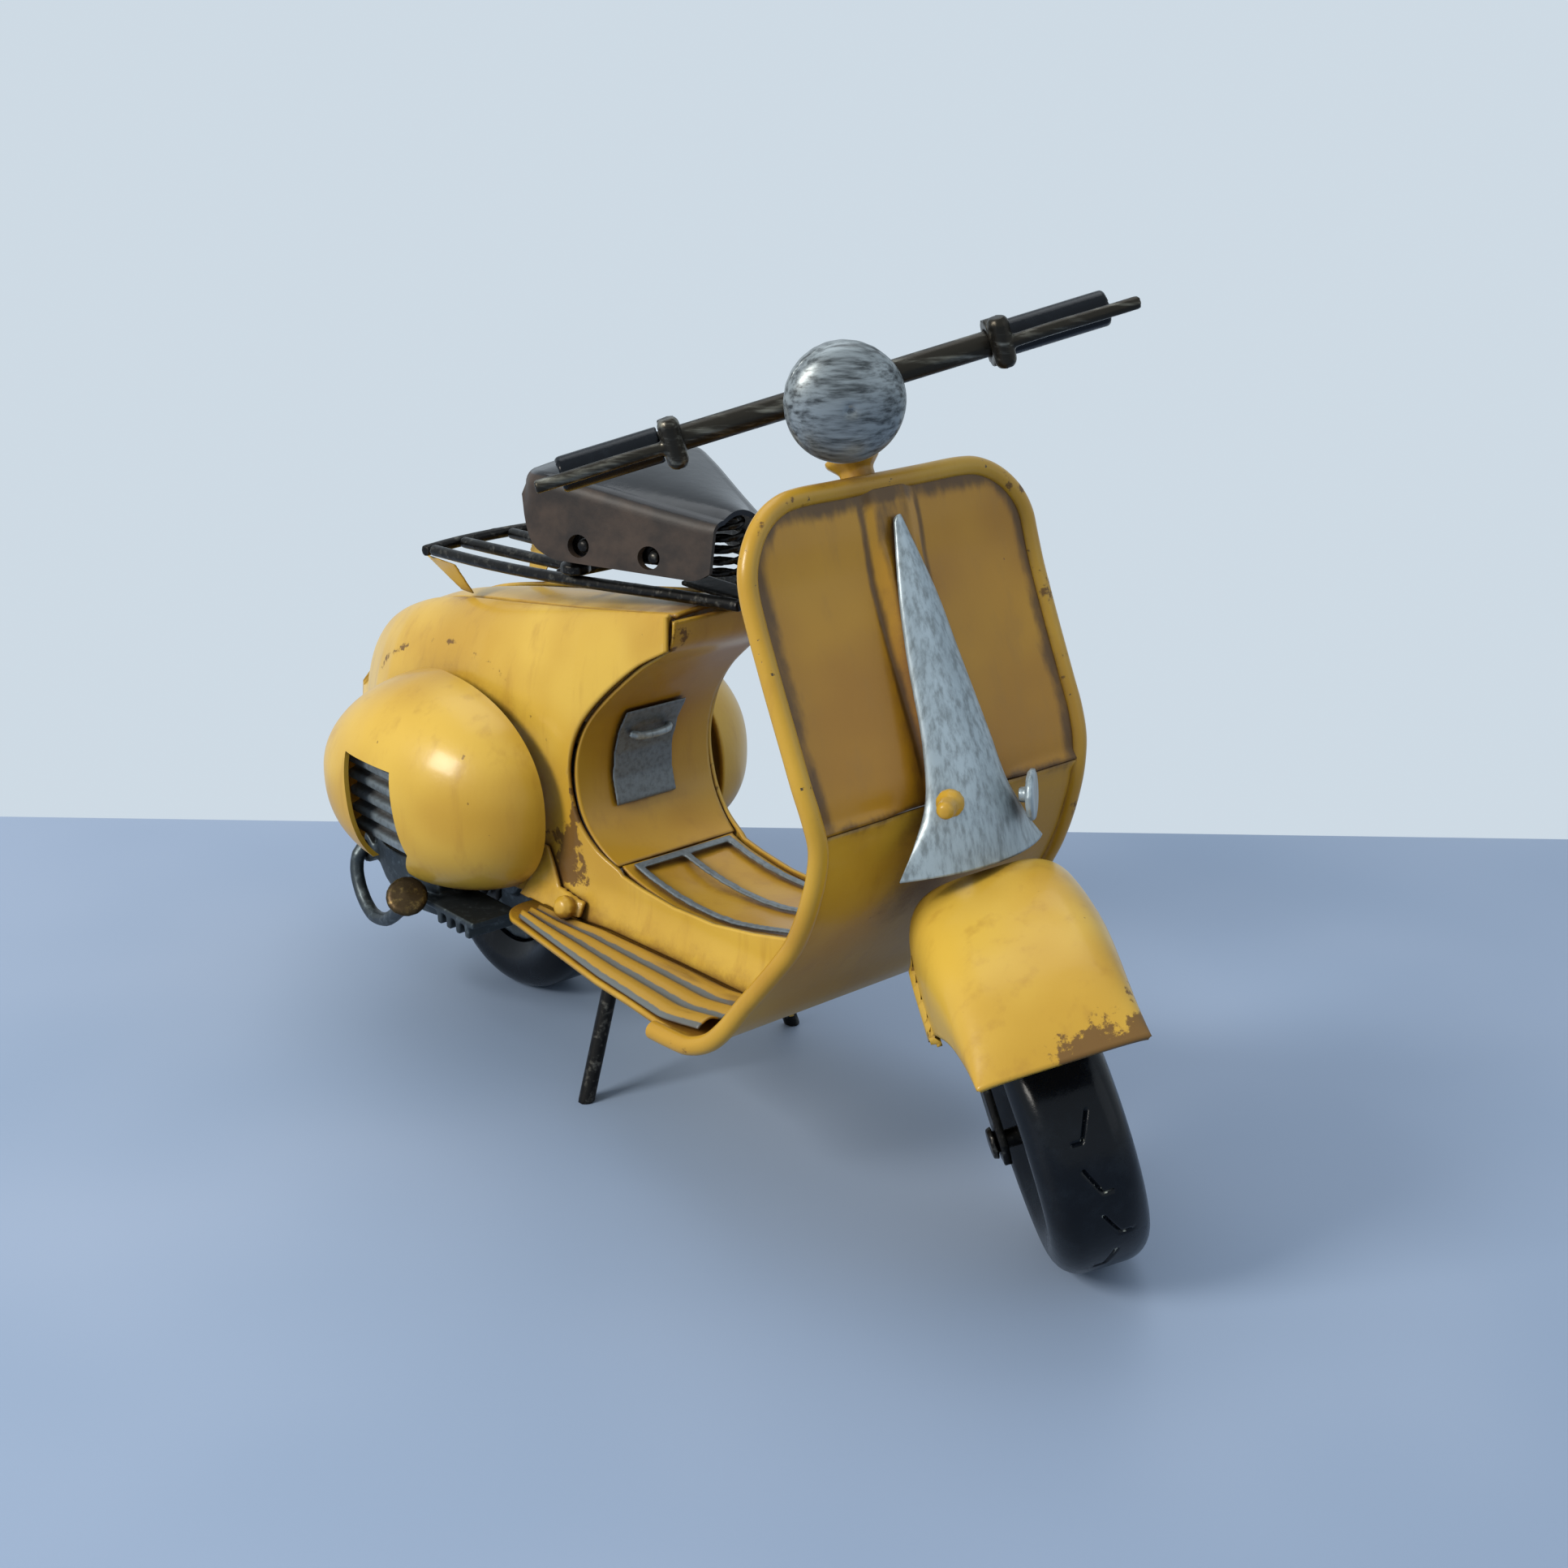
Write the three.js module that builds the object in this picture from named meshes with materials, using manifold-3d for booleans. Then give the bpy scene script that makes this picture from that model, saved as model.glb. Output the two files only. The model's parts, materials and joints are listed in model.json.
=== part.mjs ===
// Hand-made tin motor scooter ornament, in millimetres: X forward, Y to the rider's left, Z up, floor at z = 0.
import * as THREE from "three";
import { mergeVertices } from "three/addons/utils/BufferGeometryUtils.js";
import { TessellateModifier } from "three/addons/modifiers/TessellateModifier.js";
import Module from "manifold-3d";

const wasm = await Module();
wasm.setup();

// Driving dimensions
const WHEEL_RADIUS = 22;
const TYRE_WIDTH = 15;
const TYRE_SHOULDER = 4.5;
const RIM_RADIUS = 13;
const REAR_AXLE_X = -60;
const FRONT_WHEEL_BACK = 51.4;
const FRONT_AXLE_X = FRONT_WHEEL_BACK + WHEEL_RADIUS;
const FLOOR_TOP = 28.3;
const FLOOR_HALF_WIDTH = 32;
const SHIELD_HALF_WIDTH = 28.2;
const SHIELD_TOP = 112.6;
const SHIELD_CORNER = 12;
const CREASE_HEIGHT = 68;
const SHEET = 0.8;
const GAP = 0.3;
const BEAD_RADIUS = 1.5;
const BODY_HALF_WIDTH = 15.5;
const TUNNEL_HALF_WIDTH = 13;
const COWL_LENGTH = 58;
const COWL_HEIGHT = 39;
const COWL_DEPTH = 20;
const HANDLEBAR_HALF = 41.2;
const BAR_RADIUS = 2;
const GRIP_RADIUS = 2.75;
const LAMP_RADIUS = 8.8;
const FENDER_REACH = 22.6;
const FENDER_LIP_Z = 47.3;
const FENDER_CROWN = 58.8;
const FENDER_HALF_WIDTH = 14.2;
const SEAT_NOSE_X = 2.2;
const SEAT_LENGTH = 35.8;
const SEAT_REAR_HALF = 18;
const RACK_WIRE = 1.1;
const STAND_WIRE = 1.45;
const STAND_FOOT_Y = 23.3;
const STAND_DROP = 2.3;
const STEM_RADIUS = 1.8;
const KICK_X = -74.6;
const KICK_Y = -26;
const KICK_Z = 29;
const KICK_WIRE = 1.35;
const RUNNING = 0.15;
const RAKE = THREE.MathUtils.degToRad(27.3);
const STEER_REST = THREE.MathUtils.degToRad(-36);
const STEER_POINT = new THREE.Vector3(31.1, 0, 110);

// Surfaces
const finishes = {
  enamel: ["#c99e32", 0.42, 0.1],
  greyPaint: ["#7f8f98", 0.45, 0.5],
  darkSteel: ["#4a4742", 0.4, 0.8],
  rubber: ["#15171a", 0.35, 0.0],
  sleeve: ["#17191b", 0.4, 0.0],
  seatPaint: ["#33291f", 0.35, 0.3],
  castGrey: ["#5d666b", 0.5, 0.6],
  brass: ["#6b5024", 0.4, 0.8],
  lampSteel: ["#74787a", 0.35, 0.8],
  redGlass: ["#7a1510", 0.2, 0.0],
};

const root = new THREE.Group();
const steering = new THREE.Group();
root.add(steering);

function piece(name, geometry, finish, parent = root) {
  const [color, roughness, metalness] = finishes[finish];
  const material = new THREE.MeshStandardMaterial({ color, roughness, metalness });
  const mesh = new THREE.Mesh(geometry, material);
  mesh.name = name;
  parent.add(mesh);
  return mesh;
}

// Bare positions with shared vertices joined.
function joined(geometry) {
  const g = geometry.index ? geometry.toNonIndexed() : geometry;
  const bare = new THREE.BufferGeometry();
  bare.setAttribute("position", g.getAttribute("position"));
  return mergeVertices(bare, 1e-3);
}

function solid(geometry) {
  const g = joined(geometry);
  const vertProperties = new Float32Array(g.attributes.position.array);
  const triVerts = new Uint32Array(g.index.array);
  return new wasm.Manifold(new wasm.Mesh({ numProp: 3, vertProperties, triVerts }));
}

function surface(manifold) {
  const m = manifold.getMesh();
  const g = new THREE.BufferGeometry();
  const flat = new Float32Array(m.numVert * 3);
  for (let i = 0; i < m.numVert; i++) {
    flat.set(m.vertProperties.subarray(i * m.numProp, i * m.numProp + 3), i * 3);
  }
  g.setAttribute("position", new THREE.BufferAttribute(flat, 3));
  g.setIndex(new THREE.BufferAttribute(new Uint32Array(m.triVerts), 1));
  g.computeVertexNormals();
  return g;
}

function volume(g) {
  const p = g.attributes.position;
  const a = new THREE.Vector3();
  const b = new THREE.Vector3();
  const c = new THREE.Vector3();
  let sum = 0;
  for (let i = 0; i < g.index.count; i += 3) {
    a.fromBufferAttribute(p, g.index.getX(i));
    b.fromBufferAttribute(p, g.index.getX(i + 1));
    c.fromBufferAttribute(p, g.index.getX(i + 2));
    sum += a.dot(b.clone().cross(c));
  }
  return sum;
}

function outward(g) {
  if (volume(g) < 0) {
    const ix = g.index.array;
    for (let i = 0; i < ix.length; i += 3) {
      [ix[i + 1], ix[i + 2]] = [ix[i + 2], ix[i + 1]];
    }
  }
  g.computeVertexNormals();
  return g;
}

const v3 = (x, y, z) => new THREE.Vector3(x, y, z);

// A closed sheet: the surface fn(u, v) and a copy pushed back along its normal.
function sheet(fn, nu, nv, thickness) {
  const pos = [];
  const e = 1e-3;
  for (let side = 0; side < 2; side++) {
    for (let j = 0; j <= nv; j++) {
      for (let i = 0; i <= nu; i++) {
        const u = i / nu;
        const v = j / nv;
        const p = fn(u, v);
        const u0 = fn(Math.max(0, u - e), v);
        const u1 = fn(Math.min(1, u + e), v);
        const w0 = fn(u, Math.max(0, v - e));
        const w1 = fn(u, Math.min(1, v + e));
        const n = u1.sub(u0).cross(w1.sub(w0)).normalize();
        p.addScaledVector(n, side ? -thickness : 0);
        pos.push(p.x, p.y, p.z);
      }
    }
  }
  const row = nu + 1;
  const back = row * (nv + 1);
  const index = [];
  const quad = (a, b, c, d) => index.push(a, b, c, a, c, d);
  for (let j = 0; j < nv; j++) {
    for (let i = 0; i < nu; i++) {
      const a = j * row + i;
      quad(a, a + 1, a + row + 1, a + row);
      quad(back + a, back + a + row, back + a + row + 1, back + a + 1);
    }
  }
  for (let i = 0; i < nu; i++) {
    const top = nv * row + i;
    quad(i, back + i, back + i + 1, i + 1);
    quad(top, top + 1, back + top + 1, back + top);
  }
  for (let j = 0; j < nv; j++) {
    const left = j * row;
    const right = left + nu;
    quad(left, left + row, back + left + row, back + left);
    quad(right, back + right, back + right + row, right + row);
  }
  const g = new THREE.BufferGeometry();
  g.setAttribute("position", new THREE.BufferAttribute(new Float32Array(pos), 3));
  g.setIndex(index);
  return outward(joined(g));
}

// A flat outline with thickness, cut fine and bent into place by map(a, b, c).
function plate(outline, thickness, finest, map, holes = []) {
  const shape = new THREE.Shape(outline.map(([a, b]) => new THREE.Vector2(a, b)));
  for (const hole of holes) {
    shape.holes.push(new THREE.Path(hole.map(([a, b]) => new THREE.Vector2(a, b))));
  }
  const flat = new THREE.ExtrudeGeometry(shape, { depth: thickness, bevelEnabled: false, steps: 1 });
  const fine = new TessellateModifier(finest, 24).modify(flat);
  const p = fine.attributes.position;
  for (let i = 0; i < p.count; i++) {
    const q = map(p.getX(i), p.getY(i), p.getZ(i));
    p.setXYZ(i, q.x, q.y, q.z);
  }
  return outward(joined(fine));
}

// A round wire along a smooth path.
function wire(points, radius, steps, around = 8, straight = false) {
  const path = new THREE.CurvePath();
  let curve;
  if (straight) {
    curve = new THREE.LineCurve3(points[0], points[points.length - 1]);
  } else {
    curve = new THREE.CatmullRomCurve3(points, false, "centripetal");
  }
  path.add(curve);
  const ring = new THREE.Shape();
  ring.absarc(0, 0, radius, 0, Math.PI * 2, false);
  const g = new THREE.ExtrudeGeometry(ring, {
    steps,
    extrudePath: curve,
    curveSegments: around / 2,
    bevelEnabled: false,
  });
  return outward(joined(g));
}

// A turned piece: profile of [radius, along] pairs about the line from a point along a direction.
function turned(profile, around, at, along) {
  const points = profile.map(([r, h]) => new THREE.Vector2(r, h));
  const first = points[0];
  const last = points[points.length - 1];
  if (first.x > 1e-6 || last.x > 1e-6) points.push(first.clone());
  const g = new THREE.LatheGeometry(points, around);
  const turn = new THREE.Quaternion().setFromUnitVectors(v3(0, 1, 0), along.clone().normalize());
  g.applyQuaternion(turn);
  g.translate(at.x, at.y, at.z);
  return outward(joined(g));
}

function block(x0, x1, y0, y1, z0, z1) {
  const g = new THREE.BoxGeometry(x1 - x0, y1 - y0, z1 - z0);
  g.translate((x0 + x1) / 2, (y0 + y1) / 2, (z0 + z1) / 2);
  return g;
}

const smooth = (t) => {
  const k = Math.min(1, Math.max(0, t));
  return k * k * (3 - 2 * k);
};

// A smooth line through [x, value] pairs, read by x.
function track(pairs) {
  return (x) => {
    const first = pairs[0];
    const last = pairs[pairs.length - 1];
    const rising = last[0] > first[0];
    const s = rising ? pairs : [...pairs].reverse();
    if (x <= s[0][0]) return s[0][1];
    for (let i = 1; i < s.length; i++) {
      if (x <= s[i][0]) {
        const k = (x - s[i - 1][0]) / (s[i][0] - s[i - 1][0]);
        return s[i - 1][1] + (s[i][1] - s[i - 1][1]) * k;
      }
    }
    return s[s.length - 1][1];
  };
}

// Side line of the leg shield and floor, from the shield's top edge back to the floor's rear edge.
const floorRear = REAR_AXLE_X + WHEEL_RADIUS + 2;
const shieldLine = new THREE.CatmullRomCurve3(
  [
    [35.2, SHIELD_TOP],
    [37.2, 107],
    [39.0, 100],
    [43.0, 90.2],
    [47.6, 80],
    [50.0, 74.6],
    [51.4, 70.5],
    [51.9, 66],
    [51.3, 62],
    [48.7, 54],
    [44.4, 46],
    [38.6, 37.6],
    [34.6, 32],
    [30.4, 28.7],
    [24, FLOOR_TOP - SHEET],
    [8, FLOOR_TOP - SHEET],
    [-12, FLOOR_TOP - SHEET - 0.2],
    [floorRear, FLOOR_TOP - SHEET - 0.5],
  ].map(([x, z]) => v3(x, 0, z)),
  false,
  "centripetal",
);
shieldLine.arcLengthDivisions = 800;
const shieldLength = shieldLine.getLength();

function shieldAt(s) {
  const t = Math.min(1, Math.max(0, s / shieldLength));
  const p = shieldLine.getPointAt(t);
  const d = shieldLine.getTangentAt(t);
  return { p, front: v3(-d.z, 0, d.x) };
}

// Distance along the side line at which it first drops to a height.
function shieldDistance(z) {
  let low = 0;
  let high = shieldLength;
  for (let i = 0; i < 40; i++) {
    const mid = (low + high) / 2;
    if (shieldAt(mid).p.z > z) low = mid;
    else high = mid;
  }
  return low;
}

// Half width of the shield and floor at the bead's centre line, by distance from the top edge.
const creaseAt = shieldDistance(CREASE_HEIGHT);
const floorStart = shieldDistance(30);
const waist = SHIELD_HALF_WIDTH - 1.8;
const wide = track([
  [0, SHIELD_HALF_WIDTH],
  [creaseAt - 6, SHIELD_HALF_WIDTH - 0.3],
  [creaseAt - 2, SHIELD_HALF_WIDTH - 0.9],
  [creaseAt + 3, waist],
  [creaseAt + 20, waist],
  [floorStart - 6, FLOOR_HALF_WIDTH - 1.6],
  [floorStart + 4, FLOOR_HALF_WIDTH],
  [floorStart + 16, FLOOR_HALF_WIDTH],
  [floorStart + 34, FLOOR_HALF_WIDTH - 1.6],
  [shieldLength, FLOOR_HALF_WIDTH - 7],
]);

function shieldHalf(s) {
  if (s >= SHIELD_CORNER) return wide(s);
  const k = SHIELD_CORNER - s;
  return wide(s) - SHIELD_CORNER + Math.sqrt(SHIELD_CORNER ** 2 - k * k);
}

// The pressed ridge down the shield's middle that the steering stem runs behind.
const RIDGE_HALF = 5.8;
const stemAt = (z) => STEER_POINT.x + (STEER_POINT.z - z) * Math.tan(RAKE);
function ridge(y, s) {
  const k = Math.abs(y) / RIDGE_HALF;
  if (k >= 1 || s > creaseAt + 1) return 0;
  const { p } = shieldAt(s);
  const behind = (p.x - stemAt(p.z)) * 0.91;
  const height = Math.max(0.8, STEM_RADIUS + 2.6 - behind);
  return height * Math.cos((Math.PI / 2) * k) ** 2;
}

function onShield(y, s, depth) {
  const { p, front } = shieldAt(s);
  return p.addScaledVector(front, ridge(y, s) - depth).setY(y);
}

// Leg shield: upper sheet with rounded top corners.
const trim = BEAD_RADIUS + GAP;
function halfOutline(from, to, count) {
  const out = [];
  for (let i = 0; i <= count; i++) {
    const s = from + ((to - from) * i) / count;
    out.push([shieldHalf(s) - trim, s]);
  }
  return out;
}
const corner = [];
for (let i = 0; i <= 6; i++) {
  const a = (Math.PI / 2) * (i / 6);
  const r = SHIELD_CORNER - trim;
  const flat = SHIELD_HALF_WIDTH - SHIELD_CORNER;
  corner.push([flat + r * Math.sin(a), SHIELD_CORNER - r * Math.cos(a)]);
}
const upperRight = [...corner, ...halfOutline(SHIELD_CORNER + 2, creaseAt - GAP, 8)];
const mirrored = (side) => [...side, ...side.map(([a, b]) => [-a, b]).reverse()];
piece(
  "leg_shield",
  plate(mirrored(upperRight), SHEET, 10, (a, b, c) => onShield(a, b, c)),
  "enamel",
);

// Floor pan: the sheet carried on below the crease, round the footwell and back as the floor.
const rearRound = [];
for (let i = 1; i <= 5; i++) {
  const a = (Math.PI / 2) * (i / 5);
  const half = shieldHalf(shieldLength - 6) - trim;
  rearRound.push([half - 6 + 6 * Math.cos(a), shieldLength - 6 + 6 * Math.sin(a)]);
}
const lowerRight = [...halfOutline(creaseAt + GAP, shieldLength - 6, 24), ...rearRound];
const notchDepth = creaseAt + 6.5;
const lowerOutline = mirrored(lowerRight);
lowerOutline.push([-3.2, creaseAt + GAP], [-3.2, notchDepth], [3.2, notchDepth], [3.2, creaseAt + GAP]);
piece(
  "floor_pan",
  plate(lowerOutline, SHEET, 12, (a, b, c) => onShield(a, b, c)),
  "enamel",
);

// Rolled bead round the edge of shield and floor.
const beadSide = [];
const beadEnd = floorStart + 14;
for (let i = 0; i <= 20; i++) {
  const s = beadEnd + ((SHIELD_CORNER - beadEnd) * i) / 20;
  beadSide.push([shieldHalf(s), s]);
}
for (let i = 5; i >= 0; i--) {
  const a = (Math.PI / 2) * (i / 6);
  const flat = SHIELD_HALF_WIDTH - SHIELD_CORNER;
  beadSide.push([flat + SHIELD_CORNER * Math.sin(a), SHIELD_CORNER - SHIELD_CORNER * Math.cos(a)]);
}
beadSide.push([8, 0]);
const beadPath = [...beadSide, ...beadSide.map(([a, b]) => [-a, b]).reverse()];
piece(
  "shield_bead",
  wire(
    beadPath.map(([a, b]) => {
      const { p, front } = shieldAt(b);
      return p.addScaledVector(front, -SHEET / 2).setY(a);
    }),
    BEAD_RADIUS,
    72,
    8,
  ),
  "enamel",
);

// Tapered cover over the lower column, flared at its foot.
const coverMid = new THREE.CatmullRomCurve3(
  [
    [38.9, 108.4],
    [44.4, 98],
    [48.4, 89.5],
    [54.0, 78],
    [57.6, 70],
    [59.6, 64.6],
    [60.8, 60],
  ].map(([x, z]) => v3(x, 0, z)),
);
const coverEdge = new THREE.CatmullRomCurve3(
  [
    [38.5, 0.8, 107.6],
    [42.9, 3.6, 97.2],
    [46.4, 5.0, 88.6],
    [51.6, 6.6, 77],
    [54.0, 8.2, 69.4],
    [55.2, 11.4, 64],
    [56.0, 14.9, 59.5],
  ].map(([x, y, z]) => v3(x, y, z)),
);
piece(
  "column_cover",
  sheet(
    (u, v) => {
      const a = Math.PI * (u - 0.5);
      const mid = coverMid.getPoint(v);
      const edge = coverEdge.getPoint(v);
      const bell = 1 + 0.8 * smooth((v - 0.72) / 0.28);
      const k = Math.cos(a) ** bell;
      const y = edge.y * Math.sin(a);
      return v3(edge.x + (mid.x - edge.x) * k, y, edge.z + (mid.z - edge.z) * k);
    },
    10,
    12,
    0.7,
  ),
  "greyPaint",
);

// Badge disc on the cover's left flank and the soldered pin end on its right.
piece(
  "cover_disc",
  turned(
    [[0, -1.3], [1.2, -1.3], [1.2, 0], [3.4, 0], [4, 0.5], [3.9, 1.1], [2.9, 1.25], [0, 1.25]],
    14,
    v3(58.9, 8.2, 68.3),
    v3(0.8, 0.59, 0.08),
  ),
  "greyPaint",
);
piece(
  "cover_pin",
  turned(
    [[0, 0], [2.1, 0], [2.2, 1.2], [1.5, 2], [1.4, 4.4], [0.9, 5], [0, 5.1]],
    10,
    v3(58, -6.8, 70.6),
    v3(0.55, -0.83, 0.02),
  ),
  "enamel",
);

// Collar at the top of the shield and the sleeve the stem turns in.
const stemAxis = v3(-Math.sin(RAKE), 0, Math.cos(RAKE));
const stemPoint = (z) => v3(stemAt(z), 0, z);
const stemClear = STEM_RADIUS + RUNNING;
piece(
  "column_sleeve",
  turned(
    [
      [stemClear, 0],
      [2.65, 0],
      [2.65, 30.6],
      [4.2, 32.2],
      [4.3, 33],
      [stemClear, 33.2],
    ],
    14,
    stemPoint(86),
    stemAxis,
  ),
  "enamel",
);

// Body sides. The half width of a side skin by position.
const deckLine = new THREE.CatmullRomCurve3(
  [
    [-0.9, 86.8],
    [-20, 83.3],
    [-45, 79],
    [-66, 75.4],
    [-80, 71.8],
    [-94, 65],
    [-103, 55.4],
    [-108.2, 45],
    [-109.4, 36],
    [-109, 30],
  ].map(([x, z]) => v3(x, 0, z)),
);
const deckPoints = deckLine.getSpacedPoints(120);
const deckHeight = (x) => {
  for (let i = 1; i < deckPoints.length; i++) {
    if (deckPoints[i].x <= x) return deckPoints[i].z;
  }
  return 45;
};
const stripHalf = track([[0, 11], [-30, 9.2], [-75, 6], [-112, 5]]);
const sideHalf = track([
  [30, TUNNEL_HALF_WIDTH - 0.4],
  [5, TUNNEL_HALF_WIDTH],
  [-14, TUNNEL_HALF_WIDTH + 0.8],
  [-24, BODY_HALF_WIDTH],
  [-50, BODY_HALF_WIDTH + 2.5],
  [-80, BODY_HALF_WIDTH + 2.5],
  [-98, BODY_HALF_WIDTH - 1.5],
  [-111, BODY_HALF_WIDTH - 8],
]);
function skinHalf(x, z) {
  if (x > -0.9 || z < 50) {
    const foot = 1.6 * smooth((36 - z) / 8) * smooth((x + 70) / 60);
    const tail = smooth((x + 112) / 26);
    const half = sideHalf(x) + foot;
    return x > -70 ? half : stripHalf(x) + (half - stripHalf(x)) * Math.sqrt(tail);
  }
  const fall = Math.max(0, deckHeight(x) - z);
  const reach = 24;
  const k = Math.min(1, fall / reach);
  const round = Math.sqrt(1 - (1 - k) * (1 - k));
  const tail = x > -86 ? 1 : Math.sqrt(Math.max(0, (x + 112) / 26));
  return stripHalf(x) + (sideHalf(x) - stripHalf(x)) * round * tail;
}
const wallTop = track([[34, 41.6], [28, 40.6], [20, 38.8], [10, 37.2], [0, 37], [-8, 37.8], [-15, 39]]);
const sideOutline = [];
for (const x of [31, 26, 18, 10, 2, -6]) sideOutline.push([x, wallTop(x)]);
const arc = new THREE.CatmullRomCurve3(
  [
    [-13.5, 39.2],
    [-19.2, 42],
    [-23.2, 46.6],
    [-25, 54.5],
    [-22.6, 62.5],
    [-17.2, 69.4],
    [-9.4, 76],
    [-0.9, 80.8],
  ].map(([x, z]) => v3(x, 0, z)),
);
for (const p of arc.getSpacedPoints(12)) sideOutline.push([p.x, p.z]);
sideOutline.push([-0.9, 86.4]);
for (let i = 6; i < 120; i += 6) sideOutline.push([deckPoints[i].x, deckPoints[i].z - 0.2]);
sideOutline.push([-108.6, 30]);
for (const x of [-96, -80, -64, -48, -36]) sideOutline.push([x, 29.6]);
for (const x of [-24, -12, 0, 12, 22]) sideOutline.push([x, FLOOR_TOP + GAP + 0.15]);
sideOutline.push([27, 29.6]);
for (const side of [-1, 1]) {
  piece(
    side < 0 ? "side_skin_right" : "side_skin_left",
    plate(sideOutline, SHEET, 15, (a, b, c) => v3(a, side * (skinHalf(a, b) - c), b)),
    "enamel",
  );
}

// Deck strip along the spine, from the chin over the tail.
const inside = SHEET + GAP;
piece(
  "deck_strip",
  sheet(
    (u, v) => {
      const k = 0.012 + v * 0.978;
      const p = deckLine.getPointAt(k);
      const half = stripHalf(p.x) - inside - 0.25;
      const y = half * (2 * u - 1);
      return v3(p.x, y, p.z - 0.6);
    },
    4,
    20,
    SHEET,
  ),
  "enamel",
);

// Front panel under the seat, running down into the tunnel's top.
const panelLine = new THREE.CatmullRomCurve3(
  [
    [0.4, 85.6],
    [-0.6, 81.4],
    [-9, 75.4],
    [-16.6, 68.8],
    [-22, 62],
    [-24.2, 54.5],
    [-22.9, 46.8],
    [-18.8, 41.8],
    [-13.2, 38.8],
    [-6, 37.3],
    [2, 36.5],
    [12, 36.8],
    [22, 38.8],
    [30, 40.9],
    [36.5, 44.6],
  ].map(([x, z]) => v3(x, 0, z)),
);
const panelLength = panelLine.getLength();
function onPanel(y, s, lift) {
  const t = Math.min(1, Math.max(0, s / panelLength));
  const p = panelLine.getPointAt(t);
  const d = panelLine.getTangentAt(t);
  return p.addScaledVector(v3(-d.z, 0, d.x), lift).setY(y);
}
const seamAt = 0.53 * panelLength;
const panelHalf = (s) => {
  const p = panelLine.getPointAt(Math.min(1, s / panelLength));
  return skinHalf(p.x, p.z) - inside - 0.1;
};
function panelOutline(from, to, count, extra) {
  const side = [];
  for (let i = 0; i <= count; i++) {
    const s = from + ((to - from) * i) / count;
    side.push([Math.min(panelHalf(s), extra), s]);
  }
  return mirrored(side);
}
piece(
  "seat_panel",
  plate(panelOutline(0, seamAt - GAP / 2, 10, 15), SHEET, 10, (a, b, c) => onPanel(a, b, c - SHEET)),
  "enamel",
);
piece(
  "tunnel_top",
  plate(panelOutline(seamAt + GAP / 2, panelLength, 8, 12), SHEET, 10, (a, b, c) => onPanel(a, b, c - SHEET)),
  "enamel",
);

// Painted strips on the tunnel: one bar across and three running forward.
const barTo = panelLength - 9;
const barFrom = seamAt + 1;
const comb = [
  [-10.6, barFrom],
  [-10.6, barTo],
  [-9.2, barTo],
  [-9.2, barFrom + 1.6],
  [-0.7, barFrom + 1.6],
  [-0.7, barTo],
  [0.7, barTo],
  [0.7, barFrom + 1.6],
  [9.2, barFrom + 1.6],
  [9.2, barTo],
  [10.6, barTo],
  [10.6, barFrom],
];
piece(
  "tunnel_strips",
  plate(comb, 0.6, 10, (a, b, c) => onPanel(a, b, c + GAP)),
  "greyPaint",
);

// Door plate on the front panel, and its bar handle.
const doorTop = panelLength * 0.262;
const doorFoot = doorTop + 19.5;
piece(
  "door_plate",
  plate(
    [[-7.4, doorFoot], [5.4, doorFoot], [5.8, doorTop], [-7, doorTop]],
    0.5,
    8,
    (a, b, c) => onPanel(a, b, c + GAP + 0.15),
  ),
  "greyPaint",
);
const handleAt = doorTop + 5.2;
piece(
  "door_handle",
  wire(
    [onPanel(3.2, handleAt, 1.5), onPanel(2.4, handleAt, 2.5), onPanel(-4.2, handleAt, 2.5), onPanel(-5, handleAt, 1.5)],
    0.8,
    8,
    8,
  ),
  "enamel",
);

// Ribbed tread strips on the two footboards.
for (const side of [-1, 1]) {
  const section = [];
  const base = 19.4;
  const pitch = 3.4;
  section.push([base, 0], [base + 3 * pitch, 0]);
  for (let i = 2; i >= 0; i--) {
    const mid = base + (i + 0.5) * pitch;
    section.push([mid + 1.5, 0.45], [mid + 0.8, 1.1], [mid - 0.8, 1.1], [mid - 1.5, 0.45]);
  }
  section.push([base, 0.45]);
  const from = floorRear + 6;
  const to = 27;
  const shape = new THREE.Shape(section.map(([a, b]) => new THREE.Vector2(a, b)));
  const g = new THREE.ExtrudeGeometry(shape, { depth: to - from, bevelEnabled: false, steps: 8 });
  const p = g.attributes.position;
  for (let i = 0; i < p.count; i++) {
    const x = from + p.getZ(i);
    const inner = skinHalf(x, 30) + 0.9;
    const outer = shieldHalf(shieldLength - x + floorRear) - trim - 0.7;
    const k = (p.getX(i) - base) / (3 * pitch);
    const lift = FLOOR_TOP + GAP + p.getY(i) + 1.9 * smooth((x - 16) / 16) - 0.3 * smooth((8 - x) / 40);
    p.setXYZ(i, x, side * (inner + (outer - inner) * k), lift);
  }
  piece(side < 0 ? "tread_right" : "tread_left", outward(joined(g)), "greyPaint");
}

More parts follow.
